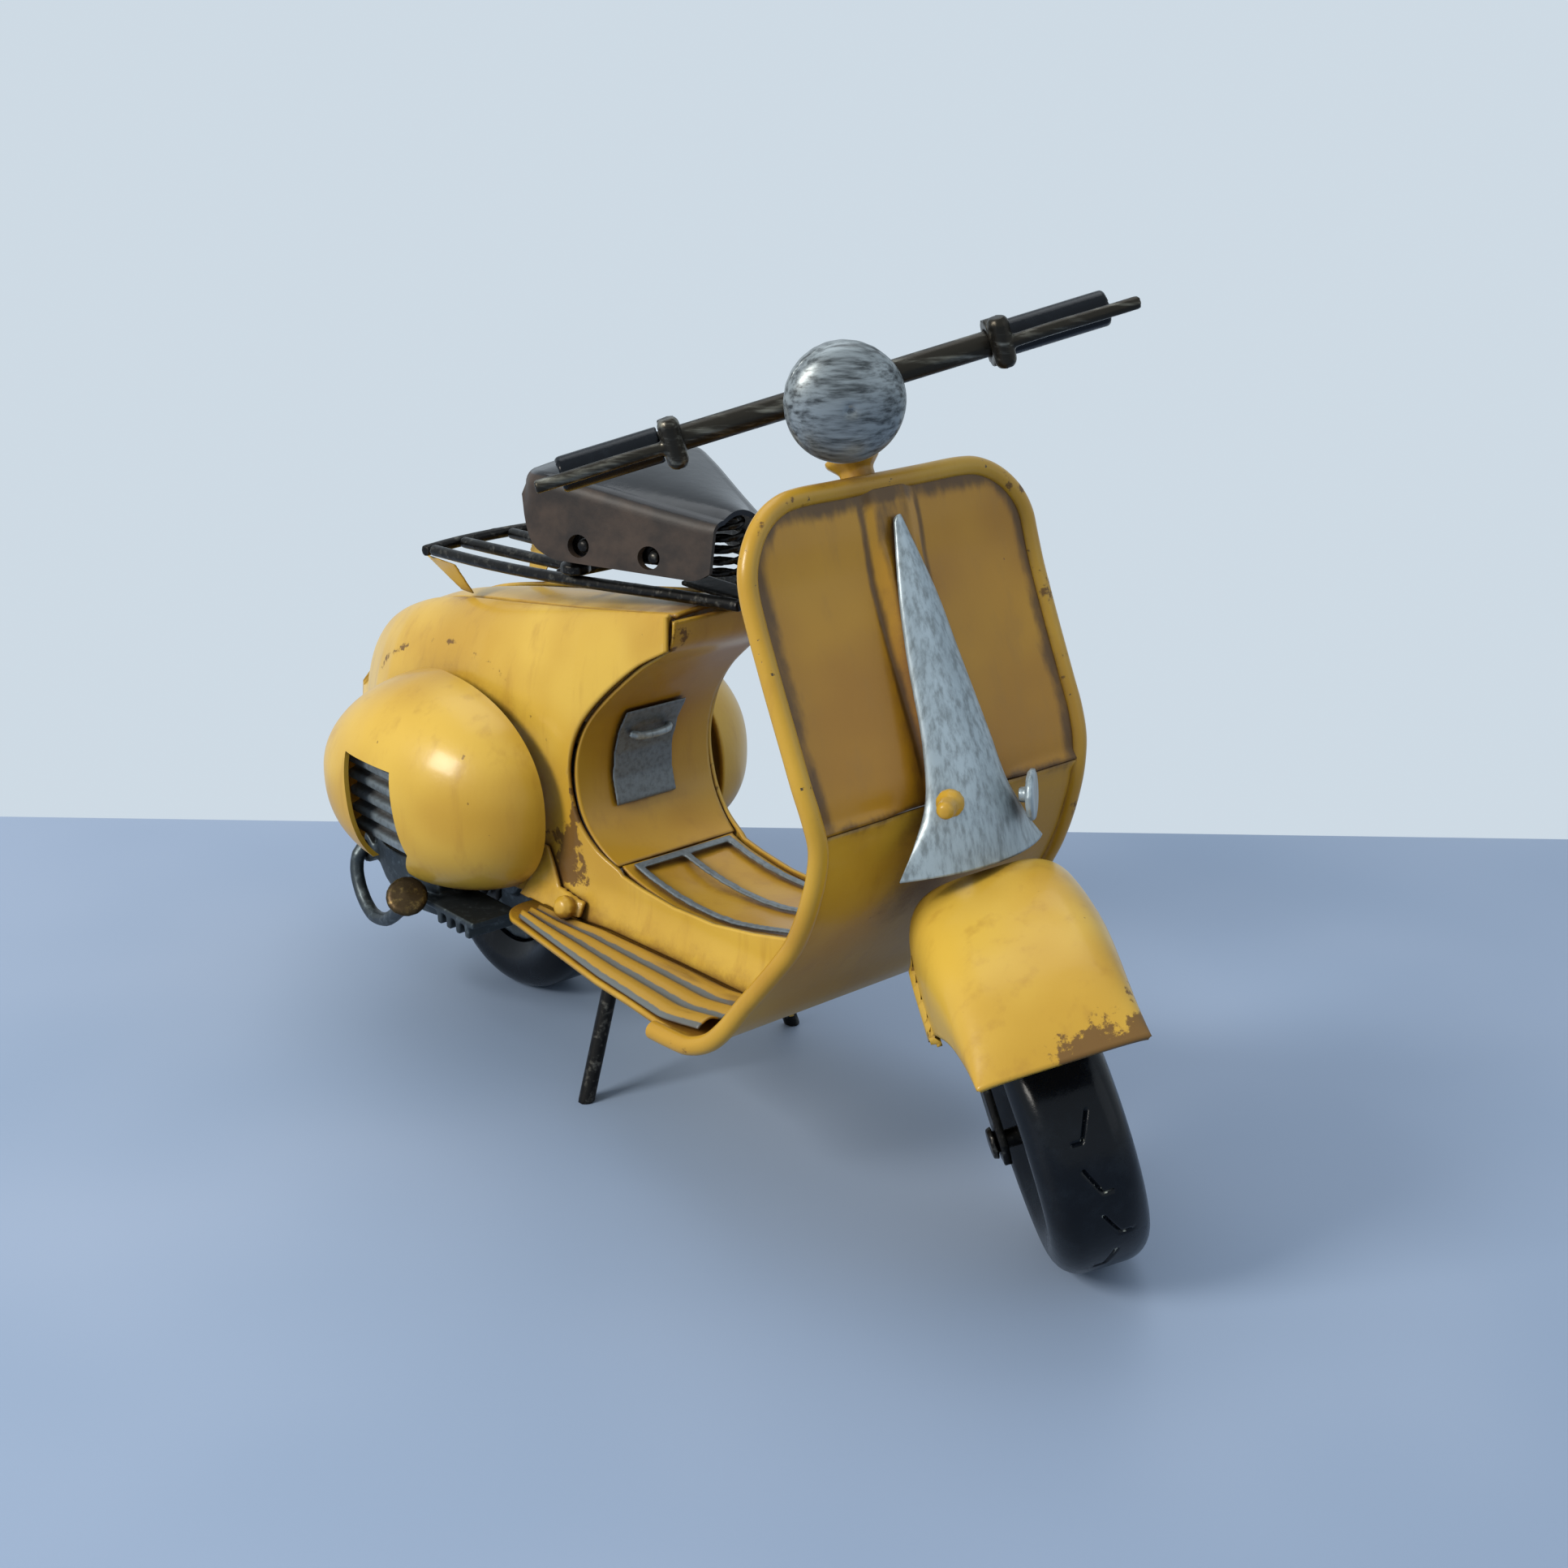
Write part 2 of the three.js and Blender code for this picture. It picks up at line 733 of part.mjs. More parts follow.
// Rear cowls: half-egg shells on both sides; the right one opens for the louvres.
const cowlX = -57;
const cowlZ = 46.5;
function cowlPoint(u, v, side) {
  const a = Math.PI * 2 * u;
  const b = (Math.PI / 2) * (0.06 + 0.94 * v);
  const power = 0.86;
  const cx = Math.cos(a);
  const cz = Math.sin(a);
  const bluntX = Math.sign(cx) * Math.abs(cx) ** power;
  const bluntZ = Math.sign(cz) * Math.abs(cz) ** power;
  const ring = Math.cos(b) ** 0.8;
  const rear = Math.max(0, -cx);
  const belly = 1.6 * Math.max(0, cx) * cx;
  const x = cowlX + (COWL_LENGTH / 2) * bluntX * ring - 3 * (1 - ring) + (belly + 2.4 * rear) * ring;
  const low = cz > 0 ? 1 - 0.28 * rear : 1;
  const z = cowlZ + (COWL_HEIGHT / 2) * bluntZ * low * ring - 1.5 * (1 - ring);
  const y = 17.6 + COWL_DEPTH * Math.sin(b);
  return v3(x, side * y, z);
}
function cowl(side) {
  const around = 22;
  const rows = 6;
  const pos = [];
  for (let layer = 0; layer < 2; layer++) {
    for (let j = 0; j <= rows; j++) {
      for (let i = 0; i < around; i++) {
        const p = cowlPoint(i / around, (j / rows) * 0.97, side);
        const mid = v3(cowlX, side * 12, cowlZ);
        const pull = p.clone().sub(mid).normalize();
        p.addScaledVector(pull, layer ? -0.95 : 0);
        if (layer && j === 0) p.setY(side * 18.3);
        if (!layer && j === 0) p.setY(side * 18.6);
        pos.push(p.x, p.y, p.z);
      }
    }
    const tip = cowlPoint(0, 1, side);
    pos.push(tip.x, tip.y - side * (layer ? 0.95 : 0), tip.z);
  }
  const count = around * (rows + 1) + 1;
  const index = [];
  for (let layer = 0; layer < 2; layer++) {
    const o = layer * count;
    for (let j = 0; j < rows; j++) {
      for (let i = 0; i < around; i++) {
        const n = (i + 1) % around;
        const a = o + j * around + i;
        const b = o + j * around + n;
        if (layer) index.push(a, b + around, b, a, a + around, b + around);
        else index.push(a, b, b + around, a, b + around, a + around);
      }
    }
    for (let i = 0; i < around; i++) {
      const n = (i + 1) % around;
      const a = o + rows * around + i;
      const b = o + rows * around + n;
      const t = o + count - 1;
      if (layer) index.push(a, t, b);
      else index.push(a, b, t);
    }
  }
  for (let i = 0; i < around; i++) {
    const n = (i + 1) % around;
    index.push(i, count + i, count + n, i, count + n, n);
  }
  const g = new THREE.BufferGeometry();
  g.setAttribute("position", new THREE.BufferAttribute(new Float32Array(pos), 3));
  g.setIndex(index);
  return outward(joined(g));
}
piece("cowl_left", cowl(1), "enamel");
const louvreWindow = plate(
  [[-60, 10], [-60.6, 39], [-62.8, 53], [-48.9, 52.7], [-46, 38], [-49.8, 33], [-49.8, 10]],
  30,
  60,
  (a, b, c) => v3(a, -24 - c, b),
);
const engineWindow = solid(block(-78, -49.8, -42, -16.8, 8, 33));
const cowlCut = solid(cowl(-1)).subtract(solid(louvreWindow)).subtract(engineWindow);
piece("cowl_right", surface(cowlCut), "enamel");

// Louvre plate: five slats behind the opening.
const slat = [];
const slatPitch = 3.1;
const slatFoot = 35.9;
for (let i = 0; i < 5; i++) {
  const z = slatFoot + i * slatPitch;
  slat.push([-1.6, z], [0.2, z + 0.6], [0.2, z + 2], [-1.6, z + 2.4]);
}
slat.push([-2.6, slatFoot + 5 * slatPitch], [-2.6, slatFoot]);
{
  const shape = new THREE.Shape(slat.map(([a, b]) => new THREE.Vector2(a, b)));
  const g = new THREE.ExtrudeGeometry(shape, { depth: 21, bevelEnabled: false });
  const p = g.attributes.position;
  for (let i = 0; i < p.count; i++) {
    const k = p.getZ(i) / 21;
    const x = -68.2 + 21 * k + (p.getY(i) - 42) * -0.12;
    p.setXYZ(i, x, -(32.7 + 0.3 * k + p.getX(i)), p.getY(i));
  }
  piece("louvre_slats", outward(joined(g)), "greyPaint");
}

// Engine casting under the right cowl, with its cooling fins and the eye that carries the kick lever.
{
  const egg = new THREE.SphereGeometry(1, 18, 10);
  egg.scale(17, 8.6, 13);
  egg.translate(-60.5, -19.8, 30);
  const cut = solid(block(-90, -50.4, -40, -19.4, 21.4, 32.2));
  const body = solid(egg).intersect(cut);
  const finLine = [[-54, 26.6], [-54, 25.4]];
  for (let i = 0; i < 4; i++) {
    const x = floorRear - 11.6 + i * 2.9;
    finLine.push([x, 25.4], [x, 23.2], [x + 1.3, 23.2], [x + 1.3, 25.4]);
  }
  finLine.push([floorRear - 0.2, 25.4], [floorRear - 0.2, 26.6]);
  const shape = new THREE.Shape(finLine.map(([a, b]) => new THREE.Vector2(a, b)));
  const g = new THREE.ExtrudeGeometry(shape, { depth: 12, bevelEnabled: false });
  const p = g.attributes.position;
  for (let i = 0; i < p.count; i++) p.setXYZ(i, p.getX(i), -19.4 - p.getZ(i) * 0.8, p.getY(i));
  const eyeAt = v3(KICK_X, KICK_Y, KICK_Z);
  const eye = turned([[0, -1.1], [3, -1.1], [3, 1.1], [0, 1.1]], 14, eyeAt, v3(0, 1, 0));
  const bore = turned([[0, -3], [KICK_WIRE + RUNNING, -3], [KICK_WIRE + RUNNING, 3], [0, 3]], 14, eyeAt, v3(0, 1, 0));
  const lug = solid(block(KICK_X, -66, -26.8, -22, KICK_Z - 1.6, KICK_Z + 1.4));
  const fins = solid(outward(joined(g)));
  const whole = body.add(fins).add(lug).add(solid(eye)).subtract(solid(bore));
  piece("engine_block", surface(whole), "castGrey");
}

// Kick lever: a bent rod hanging from an eye on the engine, with a disc pedal.
piece(
  "kick_lever",
  wire(
    [
      v3(KICK_X, KICK_Y + 1.4, KICK_Z),
      v3(KICK_X, KICK_Y - 1.6, KICK_Z - 0.1),
      v3(KICK_X - 0.2, KICK_Y - 2.8, KICK_Z - 3.2),
      v3(KICK_X + 1.8, KICK_Y - 3.4, KICK_Z - 7.4),
      v3(KICK_X + 6.4, KICK_Y - 4, KICK_Z - 10.4),
      v3(KICK_X + 12.2, KICK_Y - 4.6, KICK_Z - 9.6),
      v3(KICK_X + 17.6, KICK_Y - 5.2, KICK_Z - 6.2),
      v3(KICK_X + 21.8, KICK_Y - 5.8, KICK_Z - 2.8),
    ],
    KICK_WIRE,
    24,
    8,
  ),
  "darkSteel",
);
piece(
  "kick_pedal",
  turned(
    [[0, 0], [1.4, 0], [1.6, 0.8], [3.7, 1.5], [3.8, 2.2], [3.1, 2.7], [0, 3]],
    16,
    v3(KICK_X + 22.3, KICK_Y - 5.9, KICK_Z - 2.3),
    v3(0.6, -0.4, 0.69),
  ),
  "brass",
);

// Foot brackets with their round bolt heads, where body, floor and cowl meet.
for (const side of [-1, 1]) {
  const name = side < 0 ? "right" : "left";
  const foot = plate(
    [[-31.6, 40], [-29.8, 40], [-26.6, 33.6], [-19.8, 32.4], [-19.8, 29.9], [-35.6, 29.9], [-34, 33.4]],
    0.9,
    6,
    (a, b, c) => v3(a, side * (skinHalf(a, b) + GAP + c + 0.9 * smooth((35 - b) / 6)), b),
  );
  const bolt = turned(
    [[0, 0], [1.3, 0], [2.1, 0.9], [2.1, 2], [1.2, 2.9], [0, 3.1]],
    10,
    v3(-22.6, side * (skinHalf(-22.6, 31) + GAP + 1.2), 31.1),
    v3(0.2, side, 0.3),
  );
  piece("foot_bracket_" + name, surface(solid(foot).add(solid(bolt))), "enamel");
}

// Rear wheel, front wheel: tyre, hub and axle.
function tyre() {
  const half = TYRE_WIDTH / 2;
  const edge = [[RIM_RADIUS, -half + 2.4], [RIM_RADIUS + 2.4, -half + 0.5]];
  const steps = 3;
  for (let i = 0; i <= steps; i++) {
    const a = (Math.PI / 2) * (i / steps);
    const r = WHEEL_RADIUS - TYRE_SHOULDER + TYRE_SHOULDER * Math.sin(a);
    edge.push([r, -half + TYRE_SHOULDER - TYRE_SHOULDER * Math.cos(a)]);
  }
  return [...edge, ...edge.map(([r, h]) => [r, -h]).reverse()];
}
function hub() {
  const r = RIM_RADIUS - GAP;
  return [
    [1.65, -5.6],
    [3.6, -5.6],
    [4.2, -4.2],
    [9.6, -3.2],
    [r - 0.8, -4.6],
    [r, -4.6],
    [r, 4.6],
    [r - 0.8, 4.6],
    [9.6, 3.2],
    [4.2, 4.2],
    [3.6, 5.6],
    [1.65, 5.6],
  ];
}
function wheel(name, x, z, parent) {
  const at = v3(x, 0, z);
  piece(name + "_tyre", turned(tyre(), 32, at, v3(0, 1, 0)), "rubber", parent);
  piece(name + "_hub", turned(hub(), 20, at, v3(0, 1, 0)), "castGrey", parent);
}
function axle(name, x, z, right, left, nut, parent) {
  const profile = [
    [0, -right - nut],
    [2.3, -right - nut],
    [2.6, -right],
    [1.5, -right],
    [1.5, left],
    [2.6, left],
    [2.3, left + nut],
    [0, left + nut],
  ];
  piece(name + "_axle", turned(profile, 12, v3(x, 0, z), v3(0, 1, 0)), "darkSteel", parent);
}
wheel("rear", REAR_AXLE_X, WHEEL_RADIUS, root);
axle("rear", REAR_AXLE_X, WHEEL_RADIUS, 11.2, 11.2, 1.6, root);
{
  const boreLine = Array.from({ length: 10 }, (_, i) => {
    const t = (-i / 10) * Math.PI * 2;
    return [REAR_AXLE_X + 1.65 * Math.cos(t), WHEEL_RADIUS + 1.65 * Math.sin(t)];
  });
  const top = WHEEL_RADIUS + 3;
  const cheekLine = [[-4, -2], [-2, -4], [2, -4], [4, -2], [6, top], [-6, top]].map(
    ([x, z]) => [REAR_AXLE_X + x, WHEEL_RADIUS + z],
  );
  const roof = WHEEL_RADIUS + top;
  let fork = solid(block(REAR_AXLE_X - 6, REAR_AXLE_X + 6, -16, 16, roof - 1.4, roof));
  for (const side of [-1, 1]) {
    const cheek = plate(cheekLine, 1.2, 60, (a, b, c) => v3(a, side * (9.4 + c), b), [boreLine]);
    fork = fork.add(solid(cheek));
  }
  piece("rear_fork", surface(fork), "darkSteel");
}

// Stand: two splayed legs on a cross rod under the floor.
const standX = -13;
const standZ = FLOOR_TOP - SHEET - STAND_DROP;
const legTopY = 14.6;
piece(
  "stand_rod",
  wire([v3(standX, -12.9, standZ), v3(standX, 12.9, standZ)], STAND_WIRE, 1, 10, true),
  "darkSteel",
);
for (const side of [-1, 1]) {
  const name = side < 0 ? "right" : "left";
  const lean = (STAND_FOOT_Y - legTopY) / standZ;
  const leg = wire(
    [v3(standX, side * (legTopY - 0.6 * lean), standZ + 1.6), v3(standX + 1.3, side * (STAND_FOOT_Y + 2 * lean), -2)],
    STAND_WIRE,
    1,
    10,
    true,
  );
  const floorUp = solid(block(-40, 40, -60, 60, 0, 40));
  piece("stand_leg_" + name, surface(solid(leg).intersect(floorUp)), "darkSteel");
  const bore = turned([[0, -4], [STAND_WIRE + RUNNING, -4], [STAND_WIRE + RUNNING, 4], [0, 4]], 12, v3(standX, side * 8, standZ), v3(0, 1, 0));
  const saddle = block(standX - 3.2, standX + 3.2, side * 8 - 1.8, side * 8 + 1.8, standZ - 2.6, standZ + 1.5);
  piece("stand_clip_" + name, surface(solid(saddle).subtract(solid(bore))), "darkSteel");
}

// Luggage rack and saddle rails.
const rail = (side) => [
  v3(7.4, side * 4.2, 88.5),
  v3(-8, side * 6.6, 87.6),
  v3(-30, side * 10.4, 86.2),
  v3(-50, side * 12.2, 85),
  v3(-68.2, side * 12.7, 84.2),
];
piece("rail_right", wire(rail(-1), RACK_WIRE, 14, 8), "darkSteel");
piece("rail_left", wire(rail(1), RACK_WIRE, 14, 8), "darkSteel");
piece(
  "rack_rear_bar",
  wire([v3(-70.2, -13.4, 83.8), v3(-71.4, -7, 83.9), v3(-71.8, 0, 84), v3(-71.4, 7, 84.1), v3(-70.2, 13.4, 84.2)], RACK_WIRE, 10, 8),
  "darkSteel",
);
for (const side of [-1, 1]) {
  const name = side < 0 ? "right" : "left";
  piece(
    "rack_support_" + name,
    plate(
      [[0, 0], [9.4, 0], [6.4, 7.2], [2.4, 7.2]],
      0.9,
      12,
      (a, b, c) => v3(-70.4 + a - 2.2 * (1 - b / 7.2), side * (11.4 - 4.4 * (b / 7.2) + c * 0.5), 82.4 - b * 0.9),
    ),
    "enamel",
  );
}
{
  const cross = wire([v3(-34.6, -9.4, 86), v3(-34.6, 9.4, 86)], RACK_WIRE, 1, 8, true);
  let inner = solid(cross);
  for (const side of [-1, 1]) {
    const bar = wire([v3(-70, side * 5.2, 84.1), v3(-34.4, side * 4.2, 86)], RACK_WIRE, 1, 8, true);
    inner = inner.add(solid(bar));
  }
  piece("rack_inner_bars", surface(inner), "darkSteel");
}

// Saddle: folded sheet with side skirts, hinged on a cross rod, sprung at the nose.
const seatTop = track([[3, 101], [-8, 102.6], [-20, 104.6], [-28, 105.7], [-34, 105.2]]);
const seatHalf = track([
  [3, 4.8],
  [1, 6],
  [-8, 9.6],
  [-20, 14.4],
  [-28, SEAT_REAR_HALF - 0.6],
  [-31.5, SEAT_REAR_HALF - 0.5],
  [-34, SEAT_REAR_HALF - 2.6],
]);
const skirtFoot = track([[3, 93.4], [0, 91.4], [-12, 91.6], [-25, 91.8], [-29, 93.6], [-32, 99], [-34, 102]]);
function seatPoint(u, v) {
  const x = SEAT_NOSE_X - SEAT_LENGTH * v;
  const half = seatHalf(x);
  const top = seatTop(x);
  const foot = Math.min(skirtFoot(x), top - 2.4);
  const a = 2 * u - 1;
  const side = Math.sign(a) || 1;
  const k = Math.abs(a);
  const bend = 0.62;
  const corner = Math.min(2.4, half * 0.4);
  if (k < bend) {
    const t = k / bend;
    const y = (half - corner) * t;
    return v3(x, side * y, top + 1.2 * (1 - t * t));
  }
  const arcEnd = 0.74;
  if (k < arcEnd) {
    const t = ((k - bend) / (arcEnd - bend)) * (Math.PI / 2);
    return v3(x, side * (half - corner + corner * Math.sin(t)), top - corner + corner * Math.cos(t));
  }
  const t = (k - arcEnd) / (1 - arcEnd);
  return v3(x, side * (half + 0.9 * t), top - corner + (foot - top + corner) * t);
}
const seatShell = sheet(seatPoint, 16, 10, 0.9);
const rivetSpots = [[-20.5, 94.6], [-8.2, 94.2]];
let seatCut = solid(seatShell);
for (const side of [-1, 1]) {
  for (const [x, z] of rivetSpots) {
    const drill = turned([[0, -3], [1.9, -3], [1.9, 3], [0, 3]], 12, v3(x, side * (seatHalf(x) + 0.2), z), v3(0, 1, 0));
    seatCut = seatCut.subtract(solid(drill));
  }
}
piece("seat_cover", surface(seatCut), "seatPaint");
// Saddle frame: a bar inside each skirt with two domed studs in the skirt's holes, on the hinge rod.
const hingeX = -28.4;
const hingeZ = 93.4;
let seatFrame = solid(wire([v3(hingeX, -15.8, hingeZ), v3(hingeX, 15.8, hingeZ)], 1.2, 1, 8, true));
for (const side of [-1, 1]) {
  const name = side < 0 ? "right" : "left";
  const bar = plate(
    [[-29.6, 92], [-29.6, 95.2], [-24, 96.4], [-4.6, 96], [-4.6, 92.6], [-24, 92]],
    0.8,
    10,
    (a, b, c) => v3(a, side * (seatHalf(a) - 2.2 + c), b),
  );
  seatFrame = seatFrame.add(solid(bar));
  for (const [x, z] of rivetSpots) {
    const stud = turned(
      [[0, -0.6], [1.25, -0.6], [1.25, 1.6], [0.9, 2.2], [0, 2.4]],
      10,
      v3(x, side * (seatHalf(x) - 1.6), z),
      v3(0.36, side, 0),
    );
    seatFrame = seatFrame.add(solid(stud));
  }
  piece(
    "seat_post_" + name,
    turned([[0, 0], [2.6, 0], [2.6, 1.6], [1.5, 2.2], [1.5, 4], [0, 4]], 10, v3(hingeX, side * 10.2, 87.7), v3(0, 0, 1)),
    "darkSteel",
  );
}
piece("seat_frame", surface(seatFrame), "darkSteel");
piece("seat_base", block(-9.6, 6.4, -2.8, 2.8, 88, 89), "darkSteel");
const coil = [];
const turns = 5.5;
const springFoot = 90.3;
const springTop = 100.6;
for (let i = 0; i <= 66; i++) {
  const t = i / 66;
  const a = t * turns * Math.PI * 2;
  const z = springFoot + (springTop - springFoot) * t;
  coil.push(v3(-1.2 + 2.7 * Math.cos(a), 2.7 * Math.sin(a), z));
}
piece("nose_spring", wire(coil, 0.6, 66, 6), "darkSteel");

// Steering assembly, built pointing straight ahead and then turned about the steering axis.
const barX = 28;
const barZ = 125.5;
const stemFoot = FENDER_CROWN + GAP + 0.5;
const stemLength = stemPoint(122.2).sub(stemPoint(stemFoot)).length();
const stemRod = turned(
  [
    [0, 0],
    [STEM_RADIUS, 0],
    [STEM_RADIUS, stemLength - 4.6],
    [2.6, stemLength - 3.4],
    [2.6, stemLength],
    [0, stemLength],
  ],
  12,
  stemPoint(stemFoot),
  stemAxis,
);
const stemKnob = wire([v3(26.4, 0, 119.4), v3(29.8, 2.4, 119.6), v3(31.6, 5.2, 118.8)], 1.1, 6, 8);
piece("steering_stem", surface(solid(stemRod).add(solid(stemKnob))), "darkSteel", steering);
piece(
  "handlebar",
  wire([v3(barX, -HANDLEBAR_HALF, barZ), v3(barX, HANDLEBAR_HALF, barZ)], BAR_RADIUS, 1, 12, true),
  "darkSteel",
  steering,
);
for (const side of [-1, 1]) {
  const name = side < 0 ? "right" : "left";
  piece(
    "grip_" + name,
    turned(
      [
        [BAR_RADIUS + RUNNING, 26.6],
        [GRIP_RADIUS, 26.6],
        [GRIP_RADIUS, HANDLEBAR_HALF + 0.5],
        [GRIP_RADIUS - 0.4, HANDLEBAR_HALF + 1],
        [BAR_RADIUS + RUNNING, HANDLEBAR_HALF + 1],
      ],
      14,
      v3(barX, 0, barZ),
      v3(0, side, 0),
    ),
    "sleeve",
    steering,
  );
  const ring = turned(
    [[BAR_RADIUS + RUNNING, -1.3], [3.6, -1.3], [3.6, 1.3], [BAR_RADIUS + RUNNING, 1.3]],
    14,
    v3(barX, side * 24.9, barZ),
    v3(0, 1, 0),
  );
  const bridge = block(barX + 3, barX + 5.6, side * 24.9 - 1.3, side * 24.9 + 1.3, barZ - 1.2, barZ + 1.6);
  const pin = turned(
    [[0, -3.2], [1.2, -3.2], [1.7, -2.4], [1.7, 3.6], [1.2, 4.4], [0, 4.4]],
    10,
    v3(barX + 5, side * 24.9, barZ + 0.6),
    v3(0, 0, 1),
  );
  const blade = wire(
    [
      v3(barX + 5, side * 25.2, barZ + 0.8),
      v3(barX + 5.5, side * 32, barZ + 1.1),
      v3(barX + 5.4, side * 39, barZ + 1),
      v3(barX + 5.1, side * 45.8, barZ + 0.9),
    ],
    1.05,
    8,
    8,
  );
  const lever = solid(ring).add(solid(bridge)).add(solid(pin)).add(solid(blade));
  piece("lever_" + name, surface(lever), "darkSteel", steering);
}

// Headlamp: bowl behind, domed disc in front.
const lampX = 37.5;
const lampZ = 126.7;
const bowl = [[0, -7.1]];
for (let i = 1; i <= 5; i++) {
  const a = (Math.PI / 2) * (i / 5);
  bowl.push([LAMP_RADIUS * Math.sin(a), -7.1 * Math.cos(a)]);
}
bowl.push([LAMP_RADIUS, 1]);
bowl.push([LAMP_RADIUS - 1, 1]);
for (let i = 4; i >= 1; i--) {
  const a = (Math.PI / 2) * (i / 5);
  bowl.push([(LAMP_RADIUS - 1.2) * Math.sin(a), -5.9 * Math.cos(a) + 0.2]);
}
bowl.push([0, -5.9]);
piece("lamp_bowl", turned(bowl, 24, v3(lampX, 0, lampZ), v3(1, 0, 0)), "lampSteel", steering);
const dome = [[0, 1.3], [LAMP_RADIUS - 0.2, 1.3]];
for (let i = 0; i <= 5; i++) {
  const a = (Math.PI / 2) * (i / 5);
  dome.push([(LAMP_RADIUS - 0.1) * Math.cos(a), 1.9 + 4.2 * Math.sin(a)]);
}
piece("lamp_face", turned(dome, 24, v3(lampX, 0, lampZ), v3(1, 0, 0)), "lampSteel", steering);
// Front fender: a boxy shell over the wheel.
const frontHeight = (() => {
  const lean = Math.asin(Math.abs(Math.sin(STEER_REST)) * Math.sin(RAKE));
  const shoulder = TYRE_SHOULDER;
  return (WHEEL_RADIUS - shoulder) * Math.cos(lean) + (TYRE_WIDTH / 2 - shoulder) * Math.sin(lean) + shoulder;
})();
const fenderLine = new THREE.CatmullRomCurve3(
  [
    [FRONT_AXLE_X + FENDER_REACH, FENDER_LIP_Z],
    [FRONT_AXLE_X + 17.6, 50.9],
    [FRONT_AXLE_X + 10.6, 54.6],
    [FRONT_AXLE_X + 2.6, 57.2],
    [FRONT_AXLE_X - 5.4, FENDER_CROWN - 0.2],
    [FRONT_WHEEL_BACK + 9.6, FENDER_CROWN - 0.3],
    [FRONT_WHEEL_BACK + 5.6, FENDER_CROWN - 1.4],
    [FRONT_WHEEL_BACK + 3.4, 54],
    [FRONT_WHEEL_BACK + 2.6, 49],
    [FRONT_WHEEL_BACK + 1.6, WHEEL_RADIUS + 20],
    [FRONT_WHEEL_BACK + 0.6, WHEEL_RADIUS + 12],
  ].map(([x, z]) => v3(x, 0, z)),
);
const fenderDrop = track([[0, 0.8], [0.12, 6], [0.3, 13], [0.45, 18], [0.6, 22], [0.74, 20], [0.86, 10], [1, 5]]);
function fenderPoint(u, v) {
  const { x, z } = fenderLine.getPointAt(v);
  const d = fenderLine.getTangentAt(v);
  const a = 2 * u - 1;
  const t = (Math.abs(a) * Math.PI) / 2;
  const sharp = 0.5;
  const half = FENDER_HALF_WIDTH - 1.7 * smooth((0.45 - v) / 0.45);
  const y = Math.sign(a) * half * Math.sin(t) ** sharp;
  const inward = fenderDrop(v) * (1 - Math.cos(t) ** sharp);
  const aim = v3(FRONT_AXLE_X - x, 0, wheelZ - z).normalize();
  const square = v3(d.z, 0, -d.x);
  if (square.dot(aim) < 0) square.negate();
  aim.lerp(square, 0.35).normalize();
  return v3(x + aim.x * inward, y, z + aim.z * inward);
}

// The wheel's centre is set so that the leaning tyre just meets the floor in the turned pose.
steering.position.copy(STEER_POINT);
steering.setRotationFromAxisAngle(stemAxis, STEER_REST);
steering.updateMatrix();
for (const child of steering.children) {
  child.geometry.translate(-STEER_POINT.x, -STEER_POINT.y, -STEER_POINT.z);
}
let wheelZ = WHEEL_RADIUS;
for (let i = 0; i < 12; i++) {
  const centre = v3(FRONT_AXLE_X, 0, wheelZ).sub(STEER_POINT).applyMatrix4(steering.matrix);
  wheelZ += (frontHeight - centre.z) * 0.9;
}
{
  const at = v3(FRONT_AXLE_X, 0, wheelZ);
  const group = new THREE.Group();
  wheel("front", at.x, at.z, group);
  axle("front", at.x, at.z, 10, 5.9, 0.9, group);
  piece(
    "front_fender",
    sheet(fenderPoint, 14, 12, SHEET),
    "enamel",
    group,
  );
  const boreLine = Array.from({ length: 10 }, (_, i) => {
    const t = (-i / 10) * Math.PI * 2;
    return [at.x + 1.65 * Math.cos(t), at.z + 1.65 * Math.sin(t)];
  });
  const crownZ = FENDER_CROWN - 5.4;
  const rise = crownZ - at.z;
  const crownRear = FRONT_WHEEL_BACK + 5.6;
  const crownFront = FRONT_WHEEL_BACK + 11;
  const legLine = [
    [-3.4, -1.5],
    [-1.2, -3.8],
    [2.4, -3],
    [3.4, 1],
    [-4, 14],
    [crownFront - at.x, rise],
    [crownRear - at.x, rise],
    [-9.5, 12],
  ].map(([x, z]) => [at.x + x, at.z + z]);
  const crown = solid(block(crownRear, crownFront, -9.7, 4, crownZ - 1.2, crownZ));
  const leg = plate(legLine, 1.3, 60, (a, b, c) => v3(a, -8.4 - c, b), [boreLine]);
  piece("front_fork", surface(crown.add(solid(leg))), "darkSteel", group);
  for (const child of [...group.children]) {
    child.geometry.translate(-STEER_POINT.x, -STEER_POINT.y, -STEER_POINT.z);
    steering.add(child);
  }
}

// Tail lamp.
piece(
  "tail_lamp",
  turned([[0, 0], [3.4, 0], [3.4, 1.2], [2.4, 2.6], [0, 3.2]], 14, v3(-109.5, 0, 46), v3(-1, 0, 0.18)),
  "redGlass",
);

// Origin at the middle of the bounding box's foot.
root.updateMatrixWorld(true);
const bounds = new THREE.Box3().setFromObject(root, true);
const centre = bounds.getCenter(v3(0, 0, 0));
root.position.set(-centre.x, -centre.y, -bounds.min.z);
const assembly = new THREE.Group();
assembly.name = "tin_scooter";
assembly.add(root);
assembly.updateMatrixWorld(true);

export default assembly;
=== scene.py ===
"""Looks of the hand-made tin motor scooter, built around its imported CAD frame.

Lengths are in millimetres until place() turns them into the frame's metres.
"""

import json
import math

import bmesh
import bpy
from mathutils import Matrix, Vector


